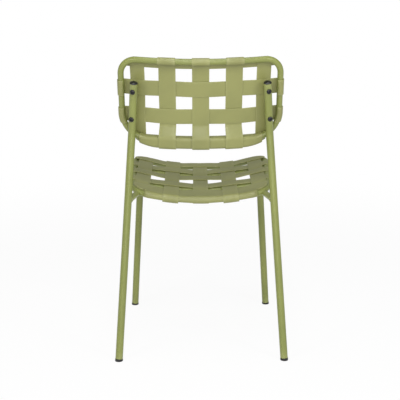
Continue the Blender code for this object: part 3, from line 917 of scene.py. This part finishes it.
@dataclass
class TubeEnds:
    """Plastic plugs in the ends of the leg tubes."""

    tube_radius: float = 0.010
    brim: float = 0.0106
    dome: float = 0.0042
    sole: float = 0.0014
    foot_base: float = 0.0060

    def cap(self, bench: Bench, name: str, point: Vector, axis: Vector, node: str) -> None:
        """Build a domed cap with a turned-over lip.

        Args:
            bench: where it is made.
            name: its name.
            point: the tube's end.
            axis: the way out of the tube.
            node: the solid that it stands for.
        """
        lip = self.brim
        profile = [(self.tube_radius - 0.002, -0.0010), (lip - 0.0004, 0.0002), (lip, 0.0005),
                   (lip, self.sole - 0.0002), (lip - 0.0002, self.sole + 0.0001)]
        for k in range(1, 9):
            turn = k * math.pi / 18
            profile.append(((lip - 0.0003) * math.cos(turn), self.sole + self.dome * math.sin(turn)))
        profile.append((0.0004, self.sole + self.dome))
        bench.turned(name, profile, facing(point, axis), Look.PLASTIC, [node])

    def foot(self, bench: Bench, name: str, point: Vector, axis: Vector, node: str) -> None:
        """Build a glide with a groove and a rounded heel, trimmed level with the floor.

        Args:
            bench: where it is made.
            name: its name.
            point: where the leg's centre line meets the floor.
            axis: the way up the leg.
            node: the solid that it stands for.
        """
        top = self.foot_base / axis.normalized().z
        brim = self.brim
        profile = [(brim - 0.0012, -0.0060), (brim - 0.0001, -0.0016), (brim, 0.0006),
                   (brim, top - 0.0020), (brim - 0.0005, top - 0.0016), (brim - 0.0005, top - 0.0012),
                   (brim, top - 0.0009), (brim - 0.0001, top - 0.0003), (brim - 0.0005, top),
                   (self.tube_radius - 0.0022, top), (self.tube_radius - 0.0024, top + 0.004)]
        obj = bench.raised(profile, 40)
        obj.data.transform(facing(point, axis))
        bench.outwards(obj)
        only(obj)
        bpy.ops.object.mode_set(mode="EDIT")
        bpy.ops.mesh.select_all(action="SELECT")
        bpy.ops.mesh.bisect(plane_co=(0, 0, 0), plane_no=(0, 0, 1), clear_inner=True,
                            use_fill=True, threshold=0.000001)
        bpy.ops.object.mode_set(mode="OBJECT")
        bench.outwards(obj)
        bench.finish(obj, name, Look.PLASTIC, [node])


# ---------------------------------------------------------------- seat

@dataclass
class Seat:
    """The dished seat: a tube loop, five strips each way and two bars beneath.

    Attributes:
        feet_y: y of the rear feet.
        bar_forward: how far a bar runs in front of the rear edge of the row above it.
        curl: how far the rear band turns down over its tube, in radians.
        corner_curl: how far into the rear corners that turn reaches.
        over: how far the outermost strips end past their tube's centre line.
    """

    feet_y: float
    bend: float = 0.66
    pitch: float = math.radians(2.2)
    rear_forward: float = 0.105
    rear_z: float = 0.4292
    strip_width: float = 0.042
    rear_row_width: float = 0.052
    row_first: float = 0.0554
    row_pitch: float = 0.078
    bar_forward: float = 0.008
    tube_radius: float = 0.0083
    curl: float = math.radians(120.0)
    corner_curl: float = 0.0165
    column_u: tuple[float, ...] = (-0.162, -0.0805, 0.0, 0.0805, 0.162)
    loop: Loop = field(default_factory=lambda: Loop(0.0, 0.366, 0.180, 0.197, 0.045, 0.045))
    weave: Weave = field(default_factory=lambda: Weave(past=math.radians(25.0)))
    over: float = 0.0030
    outer_lines: int = 10

    def __post_init__(self) -> None:
        """Work out the sheet and where the strips cross."""
        self.sheet = Sheet(self.bend, Vector((0, self.feet_y - self.rear_forward, self.rear_z)),
                           Vector((0, -math.cos(self.pitch), math.sin(self.pitch))),
                           Vector((0, math.sin(self.pitch), math.cos(self.pitch))))
        half = self.strip_width / 2
        self.columns = [(u - half, u + half) for u in self.column_u]
        self.rows = []
        for k in range(5):
            high = self.row_first + self.row_pitch * k
            self.rows.append((high - (self.strip_width if k else self.rear_row_width), high))

    def column_n(self, column: int, row: int) -> float:
        """Return a lengthwise strip's offset at a row."""
        return self.weave.strip_n if (column + row) % 2 == 0 else -self.weave.strip_n

    def bar_v(self, row: int) -> float:
        """Return where a bar runs, under the rear part of a row."""
        return self.rows[row][0] + self.bar_forward

    def flat(self, start: float, end: float, n: float) -> Line:
        """Return a straight flat end from a crossing's edge outwards."""
        return [Vector((start + (end - start) * k / 4, n, 0.0)) for k in range(5)]

    def build_columns(self, bench: Bench) -> None:
        """Build the strips that run from the rear to the front."""
        loop, weave = self.loop, self.weave
        for i, (left, right) in enumerate(self.columns):
            crossings = [(lo, hi, self.column_n(i, j)) for j, (lo, hi) in enumerate(self.rows)]
            rear_n, front_n = crossings[0][2], crossings[-1][2]
            outer = i in (0, len(self.columns) - 1)

            def path_at(u: float) -> Line:
                """Return this strip's path at u."""
                if outer:
                    low = self.flat(crossings[0][1], loop.end(u, -1, self.over), rear_n)[1:]
                    high = self.flat(crossings[-1][0], loop.end(u, 1, self.over), front_n)[1:]
                    return weave.path(crossings, low, high)
                return weave.path(crossings, weave.wrap(loop.low, -1, rear_n),
                                  weave.wrap(loop.high, 1, front_n))

            lines = lengthwise(spread(left, right, self.outer_lines if outer else 4), path_at)
            bench.strip(f"strip_seat_long_{i + 1}", self.sheet, lines, [f"seat_long_strip_{i + 1}"])

    def build_rows(self, bench: Bench) -> None:
        """Build the strips that run from side to side."""
        loop, weave = self.loop, self.weave
        for j, (low_v, high_v) in enumerate(self.rows):
            crossings = [(a, b, -self.column_n(i, j)) for i, (a, b) in enumerate(self.columns)]
            side_n = crossings[0][2]
            outer = j in (0, len(self.rows) - 1)

            def path_at(v: float) -> Line:
                """Return this strip's path at v."""
                if outer:
                    reach = loop.reach(v, self.over)
                    inner = crossings[-1][0]
                    return weave.path(crossings, self.flat(-inner, -reach, side_n)[1:],
                                      self.flat(inner, reach, side_n)[1:])
                reach = loop.half(v)
                return weave.path(weave.settled(crossings, -reach, reach),
                                  weave.wrap(-reach, -1, weave.strip_n),
                                  weave.wrap(reach, 1, weave.strip_n))

            lines = crosswise(spread(low_v, high_v, self.outer_lines if outer else 4), path_at)
            bench.strip(f"strip_seat_cross_{j + 1}", self.sheet, lines, [f"seat_cross_strip_{j + 1}"])
            if j == 0:
                self.build_curl(bench, lines[0])

    def build_curl(self, bench: Bench, edge: Line) -> None:
        """Build the part of the rear band that turns down over the rear tube.

        Args:
            bench: where the pieces are made.
            edge: the band's rear edge as (u, v, n).
        """
        straight = self.loop.half_low - self.loop.corner_low + self.corner_curl
        middle = [p for p in edge if abs(p.x) < straight]
        lines = [[Vector((p.x, p.y - 0.0001, p.z)) for p in middle]]
        for k in range(13):
            turn = self.curl * k / 12
            lines.append([self.curled(p, turn) for p in middle])
        bench.strip("strip_seat_rear_curl", self.sheet, list(reversed(lines)), [])

    def curled(self, point: Vector, turn: float) -> Vector:
        """Return where a point of the rear band's edge lies after turning over the rear tube."""
        radius = self.weave.tube_n - point.z
        tube_v = self.loop.end(point.x, -1, 0.0)
        return Vector((point.x, tube_v - radius * math.sin(turn),
                       self.weave.tube_n - radius * math.cos(turn)))

    def build_frame(self, bench: Bench) -> None:
        """Build the loop and the two bars."""
        path = [self.sheet.place(p.x, p.y, self.weave.tube_n) for p in self.loop.path()]
        bench.tube("loop_seat", path, self.tube_radius, nodes=["seat_frame"], closed=True)
        for word, row in (("rear", 1), ("front", 3)):
            v = self.bar_v(row)
            half = self.loop.half(v) - self.tube_radius * 0.6
            points = [self.sheet.place(u, v, self.weave.tube_n) for u in spread(-half, half, 40)]
            bench.tube(f"bar_{word}", points, self.tube_radius, nodes=[f"seat_bar_{word}"])

    def build(self, bench: Bench) -> None:
        """Build the whole seat."""
        self.build_columns(bench)
        self.build_rows(bench)
        self.build_frame(bench)


# ---------------------------------------------------------------- front legs and links

@dataclass
class FrontLegs:
    """The front legs with their rails, and the links from the rear legs to the seat.

    Attributes:
        seat: the seat that they carry.
        rear: the rear legs.
        foot_base: height of the tube's end above the floor.
        link_under: how far below the seat's tube a link meets it.
        link_drop: how much lower a link meets the rear leg.
        link_short: how far short of the seat's tube a link stops.
    """

    seat: Seat
    rear: RearLegs
    radius: float = 0.010
    foot_base: float = 0.0060
    foot_x: float = 0.2033
    foot_forward: float = 0.456
    top_x: float = 0.1763
    top_forward: float = 0.4154
    bend_radius: float = 0.055
    rail_rear_x: float = 0.1706
    rail_overhang: float = 0.016
    frame_radius: float = 0.008
    link_radius: float = 0.0083
    link_under: float = 0.0045
    link_drop: float = 0.0045
    link_short: float = 0.0045
    gap: float = 0.0003

    def rail_point(self, side: int, x: float, row: int) -> Vector:
        """Return the rail's centre line where it runs under a bar."""
        n = self.seat.weave.tube_n + self.frame_radius + self.radius + self.gap
        u = self.seat.bend * math.asin(x / (self.seat.bend + n))
        return self.seat.sheet.place(side * u, self.seat.bar_v(row), n)

    def path(self, side: int) -> Line:
        """Return a front leg's centre line from the rail's end to the foot."""
        rear = self.rail_point(side, self.rail_rear_x, 1)
        top_y = self.seat.feet_y - self.top_forward
        share = (self.seat.bar_v(3) - self.seat.bar_v(1)) / (rear.y - top_y)
        front = self.rail_point(side, self.rail_rear_x + (self.top_x - self.rail_rear_x) * share, 3)
        along = (front - rear).normalized()
        corner = front + along * ((top_y - front.y) / along.y)
        foot = Vector((side * self.foot_x, self.seat.feet_y - self.foot_forward, 0.0))
        down = (foot - corner).normalized()
        start = foot + down * (self.foot_base / down.z)
        corners = [rear - along * self.rail_overhang, corner, start]
        return split(fillet(corners, [self.bend_radius], math.radians(3.0)), 0.020)

    def build(self, bench: Bench, ends: TubeEnds) -> None:
        """Build both front legs, both links and the plugs.

        Args:
            bench: where the pieces are made.
            ends: the plugs' sizes.
        """
        for side, word in ((1, "left"), (-1, "right")):
            path = self.path(side)
            bench.tube(f"leg_front_{word}", path, self.radius, nodes=[f"front_leg_{word}"])
            ends.cap(bench, f"cap_rail_{word}", path[0], path[0] - path[1], f"rail_cap_{word}")
            up = path[-2] - path[-1]
            foot = path[-1] - up * (path[-1].z / up.z)
            ends.foot(bench, f"glide_front_{word}", foot, up, f"front_foot_{word}")
            self.build_link(bench, side, word)

    def build_link(self, bench: Bench, side: int, word: str) -> None:
        """Build the short tube from a rear leg to the seat's rear corner, with its weld.

        Args:
            bench: where the pieces are made.
            side: 1 for left, -1 for right.
            word: the side's name.
        """
        loop = self.seat.loop
        slant = math.sqrt(0.5) * loop.corner_low
        u = side * (loop.half(loop.corner_low) - loop.corner_low + slant)
        on_loop = self.seat.sheet.place(u, loop.corner_low - slant,
                                        self.seat.weave.tube_n + self.link_under)
        on_leg = self.rear.leg_point(side, on_loop.z - self.link_drop)
        way = (on_leg - on_loop).normalized()
        bench.tube(f"link_{word}", [on_leg, on_loop + way * self.link_short], self.link_radius,
                   nodes=[f"seat_link_{word}"])
        Weld().ring(bench, f"weld_link_leg_{word}", on_leg - way * self.radius, way,
                    self.link_radius)


@dataclass
class Weld:
    """A painted weld bead.

    Attributes:
        radius: radius of the bead.
        ripple: height of its ripples.
    """

    radius: float = 0.0016
    ripple: float = 0.00025

    def ring(self, bench: Bench, name: str, centre: Vector, axis: Vector, round_radius: float) -> None:
        """Build a rippled ring round a tube.

        Args:
            bench: where it is made.
            name: its name.
            centre: the ring's middle.
            axis: the tube's direction.
            round_radius: the tube's radius.
        """
        deselect()
        bpy.ops.mesh.primitive_torus_add(major_radius=round_radius, minor_radius=self.radius,
                                         major_segments=72, minor_segments=10, location=(0, 0, 0))
        obj = bpy.context.object
        for vert in obj.data.vertices:
            turn = math.atan2(vert.co.y, vert.co.x)
            flat = Vector((vert.co.x, vert.co.y, 0)).normalized() * round_radius
            swell = 1.0 + self.ripple / self.radius * math.sin(turn * 18 + 0.7 * math.sin(turn * 5))
            vert.co = flat + (vert.co - flat) * swell
        obj.data.transform(facing(centre, axis))
        bench.finish(obj, name, Look.TUBE, angle=60.0)


# ---------------------------------------------------------------- backrest

@dataclass
class Backrest:
    """The curved backrest: a tube loop, five uprights, two rows and two bands.

    Attributes:
        rear: the rear legs that carry it.
        round_from: u from which the bottom band's lower edge rises.
        hook_lead: how far a strip runs on flat before it leaves the sheet.
        hem_n: offset of the hem's rear wall.
        hem_half: half the hem's width.
        hem_rise: how much higher the hem's rear fold is than its front one.
        hem_top: v of the hem's upper edge.
    """

    rear: RearLegs
    bend: float = 0.75
    centre_up: float = 0.0824
    column_pitch: float = 0.086
    column_width: float = 0.044
    outer_u: float = 0.1635
    outer_width: float = 0.038
    row_pitch: float = 0.077
    row_width: float = 0.042
    top_over: float = 0.0035
    band_width: float = 0.036
    round_from: float = 0.107
    round_radius: float = 0.130
    hook_lead: float = 0.006
    tube_radius: float = 0.008
    over: float = 0.0030
    outer_lines: int = 10
    gap: float = 0.0003
    hem_n: float = 0.0193
    hem_half: float = 0.159
    hem_rise: float = 0.0075
    hem_round: float = 0.0090
    hem_top: float = -0.0937
    loop: Loop = field(default_factory=lambda: Loop(-0.1028, 0.1182, 0.2045, 0.2045, 0.070, 0.042))
    weave: Weave = field(default_factory=Weave)

    def __post_init__(self) -> None:
        """Work out the strips' edges and bring the loop up to the posts."""
        self.row_edge = self.row_pitch / 2 + self.row_width / 2
        self.band_edge = self.row_edge + self.row_pitch - self.row_width
        wide, narrow = self.column_width / 2, self.outer_width / 2
        self.columns = [(-self.outer_u - narrow, -self.outer_u + narrow),
                        (-self.column_pitch - wide, -self.column_pitch + wide), (-wide, wide),
                        (self.column_pitch - wide, self.column_pitch + wide),
                        (self.outer_u - narrow, self.outer_u + narrow)]
        self.rows = [(-self.band_edge - self.band_width, -self.band_edge),
                     (-self.row_edge, -self.row_edge + self.row_width),
                     (self.row_edge - self.row_width, self.row_edge),
                     (self.band_edge, self.loop.high + self.top_over)]
        self.sheet = self.fitted()

    def sheet_at(self, standoff: float) -> Sheet:
        """Return the sheet with its middle line this far in front of the posts' plane."""
        lean = self.rear.recline
        up = Vector((0, math.sin(lean), math.cos(lean)))
        towards = Vector((0, -math.cos(lean), math.sin(lean)))
        base = Vector((0, self.rear.feet_y - self.rear.bend_forward, self.rear.bend_z))
        return Sheet(self.bend, base + up * self.centre_up + towards * standoff, up, towards)

    def fitted(self) -> Sheet:
        """Return the sheet whose loop just touches the posts, but for the gap."""
        post = self.rear.path(1)
        flat = [p for p in self.loop.path() if p.x > 0.1 and p.y < 0.0]
        near, far = -0.05, 0.15
        for _ in range(30):
            middle = (near + far) / 2
            sheet = self.sheet_at(middle)
            clear = min(self.distance(sheet.place(p.x, p.y, self.weave.tube_n), post) for p in flat)
            if clear < self.tube_radius + self.rear.radius + self.gap:
                near = middle
            else:
                far = middle
        return self.sheet_at(far)

    @staticmethod
    def distance(point: Vector, path: Line) -> float:
        """Return the least distance from a point to a path."""
        best = math.inf
        for a, b in zip(path, path[1:]):
            way = b - a
            share = min(1.0, max(0.0, (point - a).dot(way) / way.length_squared))
            best = min(best, (point - a - way * share).length)
        return best

    def upright_n(self, column: int, row: int) -> float:
        """Return an upright's offset at a row counted from the bottom band."""
        if row in (0, 3):
            return self.weave.strip_n
        return self.weave.strip_n if (column + row) % 2 == 1 else -self.weave.strip_n

    def hook(self, column: int, start: float) -> Line:
        """Return a middle upright's lower end, which runs out over the hem and tucks in under it.

        Args:
            column: which upright.
            start: v of the crossing's edge that it leaves.

        Returns:
            Flat (along, n) points.
        """
        behind = self.hem_n + (0.0030 if column == 2 else 0.0021)
        under = self.rows[0][0] - 0.0008
        corners = [(start, self.upright_n(column, 1)),
                   (start - self.hook_lead, self.upright_n(column, 1)),
                   (self.hem_top + 0.0015, behind), (under + self.hem_rise, behind), (under, 0.0010)]
        path = fillet([Vector((a, n, 0.0)) for a, n in corners], [0.014, 0.020, 0.0105],
                      math.radians(5.0))
        return split(path, 0.006)[1:]

    def build_uprights(self, bench: Bench) -> None:
        """Build the five upright strips."""
        loop, weave = self.loop, self.weave
        for i, (left, right) in enumerate(self.columns):
            crossings = [(lo, hi, self.upright_n(i, j)) for j, (lo, hi) in enumerate(self.rows)]
            outer = i in (0, len(self.columns) - 1)

            def path_at(u: float) -> Line:
                """Return this strip's path at u."""
                high = weave.wrap(loop.high, 1, weave.strip_n)
                if outer:
                    low = self.flat(crossings[1][0], loop.end(u, -1, self.over))
                    high = self.flat(crossings[3][0], loop.end(u, 1, self.over))
                    return weave.path(crossings[1:], low, high)
                return weave.path(crossings[1:], self.hook(i, crossings[1][0]), high)

            lines = lengthwise(spread(left, right, self.outer_lines if outer else 4), path_at)
            bench.strip(f"strip_back_upright_{i + 1}", self.sheet, lines,
                        [f"back_upright_strip_{i + 1}"])

    def flat(self, start: float, end: float) -> Line:
        """Return a straight flat end from a crossing's edge outwards."""
        return [Vector((start + (end - start) * k / 4, self.weave.strip_n, 0.0))
                for k in range(1, 5)]

    def build_rows(self, bench: Bench) -> None:
        """Build the two rows, which wrap round the loop's sides."""
        loop, weave = self.loop, self.weave
        for j in (1, 2):
            crossings = [(a, b, -self.upright_n(i, j)) for i, (a, b) in enumerate(self.columns)]

            def path_at(v: float) -> Line:
                """Return this strip's path at v."""
                reach = loop.reach(v, 0.0)
                stretch = loop.lean(v)
                return weave.path(weave.settled(crossings, -reach, reach),
                                  weave.wrap(-reach, -1, weave.strip_n, stretch),
                                  weave.wrap(reach, 1, weave.strip_n, stretch))

            lines = crosswise(spread(*self.rows[j], 8), path_at)
            bench.strip(f"strip_back_cross_{j}", self.sheet, lines, [f"back_cross_strip_{j}"])

    def build_bands(self, bench: Bench) -> None:
        """Build the top band and the bottom band, whose lower edge rises at its ends."""
        loop, n = self.loop, -self.weave.strip_n
        top = [[Vector((u, v, n)) for u in spread(-1.0, 1.0, 80)]
               for v in spread(*self.rows[3], 8)]
        for line in top:
            reach = loop.reach(line[0].y, self.over)
            for spot in line:
                spot.x *= reach
        bench.strip("band_back_top", self.sheet, top, ["back_top_band"])
        low, high = self.rows[0]
        reach = loop.reach(high, self.over)
        bottom: list[Line] = []
        for share in spread(0.0, 1.0, 6):
            line = []
            for u in spread(-reach, reach, 80):
                beyond = max(0.0, abs(u) - self.round_from)
                rise = self.round_radius - math.sqrt(self.round_radius ** 2 - beyond ** 2)
                line.append(Vector((u, low + rise + (high - low - rise) * share, n)))
            bottom.append(line)
        bench.strip("band_back_bottom", self.sheet, bottom, ["back_bottom_band"])
        self.build_hem(bench, low)

    def build_hem(self, bench: Bench, low: float) -> None:
        """Build the bottom band's hem, which turns in under the tube and up behind it.

        Args:
            bench: where the pieces are made.
            low: v of the band's lower edge.
        """
        across = spread(-self.hem_half, self.hem_half, 70)
        columns: list[Line] = []
        for u in across:
            beyond = max(0.0, abs(u) - self.round_from)
            rise = self.round_radius - math.sqrt(self.round_radius ** 2 - beyond ** 2)
            floor = low + rise + 0.0009
            top = self.hem_top + self.loop.end(u, -1, 0.0) - self.loop.low
            corners = [Vector((floor, 0.0006, 0)), Vector((floor + self.hem_rise, self.hem_n, 0)),
                       Vector((top, self.hem_n, 0)), Vector((top, 0.0022, 0))]
            path = fillet(corners, [self.hem_round, 0.0075], math.radians(9.0))
            columns.append([Vector((u, p.x, p.y)) for p in path])
        lines = [list(line) for line in zip(*columns, strict=True)]
        bench.strip("hem_back_bottom", self.sheet, list(reversed(lines)), [])

    def build(self, bench: Bench) -> None:
        """Build the whole backrest."""
        self.build_uprights(bench)
        self.build_rows(bench)
        self.build_bands(bench)
        path = [self.sheet.place(p.x, p.y, self.weave.tube_n) for p in self.loop.path()]
        bench.tube("loop_back", path, self.tube_radius, nodes=["back_frame"], closed=True)


@dataclass
class Fasteners:
    """The four bolts through the posts, with spacers and cap nuts.

    Attributes:
        back: the backrest that they hold.
        spacer_reach: share of the post's radius at which its spacer ends.
        nut_clear: distance of a nut's base from the middle of the strip that it holds.
        spacer_clear: distance of a spacer's end from the middle of that strip.
    """

    back: Backrest
    shank: float = 0.003
    head_radius: float = 0.0068
    head_height: float = 0.0036
    socket_radius: float = 0.0023
    socket_depth: float = 0.0018
    spacer_reach: float = 0.55
    nut_clear: float = 0.0013
    spacer_clear: float = 0.0011
    nut_radius: float = 0.0056
    nut_height: float = 0.0055
    spacer_radius: float = 0.0062
    gap: float = 0.0003

    def spot(self, side: int, v: float) -> tuple[float, float]:
        """Return a bolt's u, and the n of the post's centre line there."""
        sheet, rear = self.back.sheet, self.back.rear
        post = rear.post_point(side, self.back.centre_up + v)
        level = sheet.origin + sheet.along * v
        depth = sheet.bend - (post - level).dot(sheet.towards)
        return sheet.bend * math.atan2(post.x, depth), math.hypot(post.x, depth) - sheet.bend

    def build(self, bench: Bench) -> None:
        """Build every fastener."""
        for side, word in ((1, "left"), (-1, "right")):
            for level, v in (("lower", -self.back.row_pitch / 2), ("upper", self.back.row_pitch / 2)):
                self.build_one(bench, side, v, f"{level}_{word}")

    def build_one(self, bench: Bench, side: int, v: float, tag: str) -> None:
        """Build one bolt, its spacer and its nut.

        Args:
            bench: where the pieces are made.
            side: 1 for left, -1 for right.
            v: the bolt's height on the sheet.
            tag: the bolt's place in words.
        """
        u, post_n = self.spot(side, v)
        sheet, radius = self.back.sheet, self.back.rear.radius
        away = sheet.away(u)
        front = -self.back.weave.strip_n - self.nut_clear
        head = post_n + radius + self.gap
        tall = self.head_height
        profile = [(self.shank, front - head - 0.002), (self.shank, -0.0008),
                   (self.head_radius - 0.0004, -0.0007), (self.head_radius, -0.0002),
                   (self.head_radius, 0.0006)]
        for k in range(1, 8):
            turn = k * math.pi / 16
            profile.append((self.head_radius * math.cos(turn), 0.0006 + (tall - 0.0006) * math.sin(turn)))
        profile.append((0.0004, tall))
        bolt = bench.raised(profile, 40)
        bench.outwards(bolt)
        self.cut_socket(bench, bolt, tall)
        bolt.data.transform(facing(sheet.place(u, v, head), away))
        bench.finish(bolt, f"bolt_{tag}", Look.STEEL, [f"back_bolt_{tag}"])
        back_n = self.back.weave.strip_n + self.spacer_clear
        length = post_n - radius * self.spacer_reach - back_n
        edge = 0.0006
        spacer = [(self.spacer_radius - edge, 0.0), (self.spacer_radius, edge),
                  (self.spacer_radius, length - edge), (self.spacer_radius - edge, length)]
        bench.turned(f"spacer_{tag}", spacer, facing(sheet.place(u, v, back_n), away), Look.TUBE,
                     [f"back_spacer_{tag}"])
        self.build_nut(bench, facing(sheet.place(u, v, front), -away), tag)

    def cut_socket(self, bench: Bench, bolt: bpy.types.Object, top: float) -> None:
        """Sink a hexagonal socket into a bolt's head.

        Args:
            bench: where the piece is made.
            bolt: the bolt, upright at the origin.
            top: the head's height.
        """
        deselect()
        bpy.ops.mesh.primitive_cylinder_add(vertices=6, radius=self.socket_radius, depth=0.004,
                                            location=(0, 0, top - self.socket_depth + 0.002))
        key = bpy.context.object
        bench.apply(bolt, "BOOLEAN", object=key, operation="DIFFERENCE", solver="EXACT")
        bpy.data.objects.remove(key, do_unlink=True)

    def build_nut(self, bench: Bench, place: Matrix, tag: str) -> None:
        """Build a cap nut: a six-sided collar under a dome.

        Args:
            bench: where the piece is made.
            place: where its base goes.
            tag: its place in words.
        """
        deselect()
        collar = self.nut_height * 0.45
        bpy.ops.mesh.primitive_cylinder_add(vertices=6, radius=self.nut_radius, depth=collar,
                                            location=(0, 0, collar / 2))
        hexagon = bpy.context.object
        bench.apply(hexagon, "BEVEL", width=0.0004, segments=2)
        inner = self.nut_radius * 0.80
        profile = [(inner, collar * 0.5), (inner, collar + 0.0004)]
        for k in range(1, 8):
            turn = k * math.pi / 16
            profile.append((inner * math.cos(turn),
                            collar + 0.0004 + (self.nut_height - collar - 0.0004) * math.sin(turn)))
        profile.append((0.0003, self.nut_height))
        dome = bench.raised(profile, 36)
        bench.outwards(dome)
        bench.apply(hexagon, "BOOLEAN", object=dome, operation="UNION", solver="EXACT")
        bpy.data.objects.remove(dome, do_unlink=True)
        hexagon.data.transform(place)
        bench.finish(hexagon, f"nut_{tag}", Look.STEEL, [f"back_nut_{tag}"])


# ---------------------------------------------------------------- studio

@dataclass
class Studio:
    """Camera, lamps, world and floor.

    Attributes:
        feet_y: y of the rear feet.
    """

    feet_y: float
    camera_x: float = 0.0197
    camera_back: float = 2.6286
    camera_z: float = 1.0849
    pitch: float = math.radians(13.690)
    yaw: float = math.radians(0.365)
    roll: float = math.radians(-0.195)
    lens: float = 93.78
    world_light: float = 0.36

    def build_camera(self) -> None:
        """Set up the camera behind the chair, looking slightly down."""
        data = bpy.data.cameras.new("camera")
        data.sensor_width = 36.0
        data.lens = self.lens
        camera = bpy.data.objects.new("camera", data)
        bpy.context.scene.collection.objects.link(camera)
        camera.location = (self.camera_x, self.feet_y + self.camera_back, self.camera_z)
        level = Vector((-math.sin(self.yaw), -math.cos(self.yaw), 0.0))
        look = level * math.cos(self.pitch) - Vector((0, 0, math.sin(self.pitch)))
        camera.rotation_mode = "QUATERNION"
        camera.rotation_quaternion = look.to_track_quat("-Z", "Y") @ Quaternion((0, 0, 1), self.roll)
        bpy.context.scene.camera = camera

    def build_lamp(self, name: str, place: tuple[float, float, float], target: tuple[float, float, float],
                   size: float, power: float,
                   colour: tuple[float, float, float] = (1.0, 1.0, 1.0)) -> None:
        """Add a square soft box.

        Args:
            name: the lamp's name.
            place: where it hangs.
            target: what it points at.
            size: its side.
            power: its power in watts.
            colour: its light's colour.
        """
        data = bpy.data.lights.new(name, "AREA")
        data.size = size
        data.energy = power
        data.color = colour
        lamp = bpy.data.objects.new(name, data)
        bpy.context.scene.collection.objects.link(lamp)
        lamp.location = place
        way = Vector(target) - Vector(place)
        lamp.rotation_mode = "QUATERNION"
        lamp.rotation_quaternion = way.to_track_quat("-Z", "Y")

    def build_world(self) -> None:
        """Light evenly, and show white to the camera and to transmission rays."""
        world = bpy.data.worlds.new("studio")
        bpy.context.scene.world = world
        world.use_nodes = True
        tree = world.node_tree
        sky = tree.nodes["Background"]
        sky.inputs["Color"].default_value = (1.0, 1.0, 1.0, 1.0)
        sky.inputs["Strength"].default_value = self.world_light
        white = tree.nodes.new("ShaderNodeBackground")
        white.inputs["Color"].default_value = (1.0, 1.0, 1.0, 1.0)
        path = tree.nodes.new("ShaderNodeLightPath")
        seen = tree.nodes.new("ShaderNodeMath")
        seen.operation = "MAXIMUM"
        mix = tree.nodes.new("ShaderNodeMixShader")
        tree.links.new(path.outputs["Is Camera Ray"], seen.inputs[0])
        tree.links.new(path.outputs["Is Transmission Ray"], seen.inputs[1])
        tree.links.new(seen.outputs[0], mix.inputs[0])
        tree.links.new(sky.outputs[0], mix.inputs[1])
        tree.links.new(white.outputs[0], mix.inputs[2])
        tree.links.new(mix.outputs[0], tree.nodes["World Output"].inputs[0])

    def build(self) -> None:
        """Set up the whole studio."""
        bpy.context.scene.view_settings.view_transform = "Standard"
        self.build_camera()
        warm = (1.0, 0.960, 0.930)
        self.build_lamp("key_left", (2.3, 2.6, 1.9), (0, 0, 0.5), 0.9, 30.0)
        self.build_lamp("key_right", (-2.3, 2.6, 1.9), (0, 0, 0.5), 0.9, 36.0)
        self.build_lamp("behind_camera", (-0.3, 3.4, 1.3), (0, 0.1, 0.5), 0.8, 17.0, warm)
        self.build_lamp("low", (0.2, 3.0, 0.2), (0, 0.1, 0.5), 1.0, 14.0, warm)
        self.build_lamp("top", (0.0, 0.55, 2.6), (0, 0.1, 0.45), 0.9, 16.0)
        self.build_lamp("key_high", (0.1, 2.0, 2.3), (0, 0.1, 0.45), 0.7, 19.0)
        self.build_world()
        deselect()
        bpy.ops.mesh.primitive_plane_add(size=80.0, location=(0, 0, 0))
        floor = bpy.context.object
        floor.name = "studio_floor"
        floor.data.materials.append(StudioSheet().build("studio_sheet"))
        deselect()


def main() -> None:
    """Build the chair's looks and the studio."""
    logging.basicConfig(level=logging.INFO)
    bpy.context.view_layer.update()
    mounts = {mount["name"]: mount for mount in frame["record"]["mounts"]}
    feet_y = mounts["rear_left_foot"]["pos_m"][1]
    bench = Bench(Finishes())
    ends = TubeEnds()
    rear = RearLegs(feet_y)
    rear.build(bench, ends)
    seat = Seat(feet_y)
    seat.build(bench)
    FrontLegs(seat, rear).build(bench, ends)
    back = Backrest(rear)
    back.build(bench)
    Fasteners(back).build(bench)
    Studio(feet_y).build()


if __name__ == "__main__":
    main()
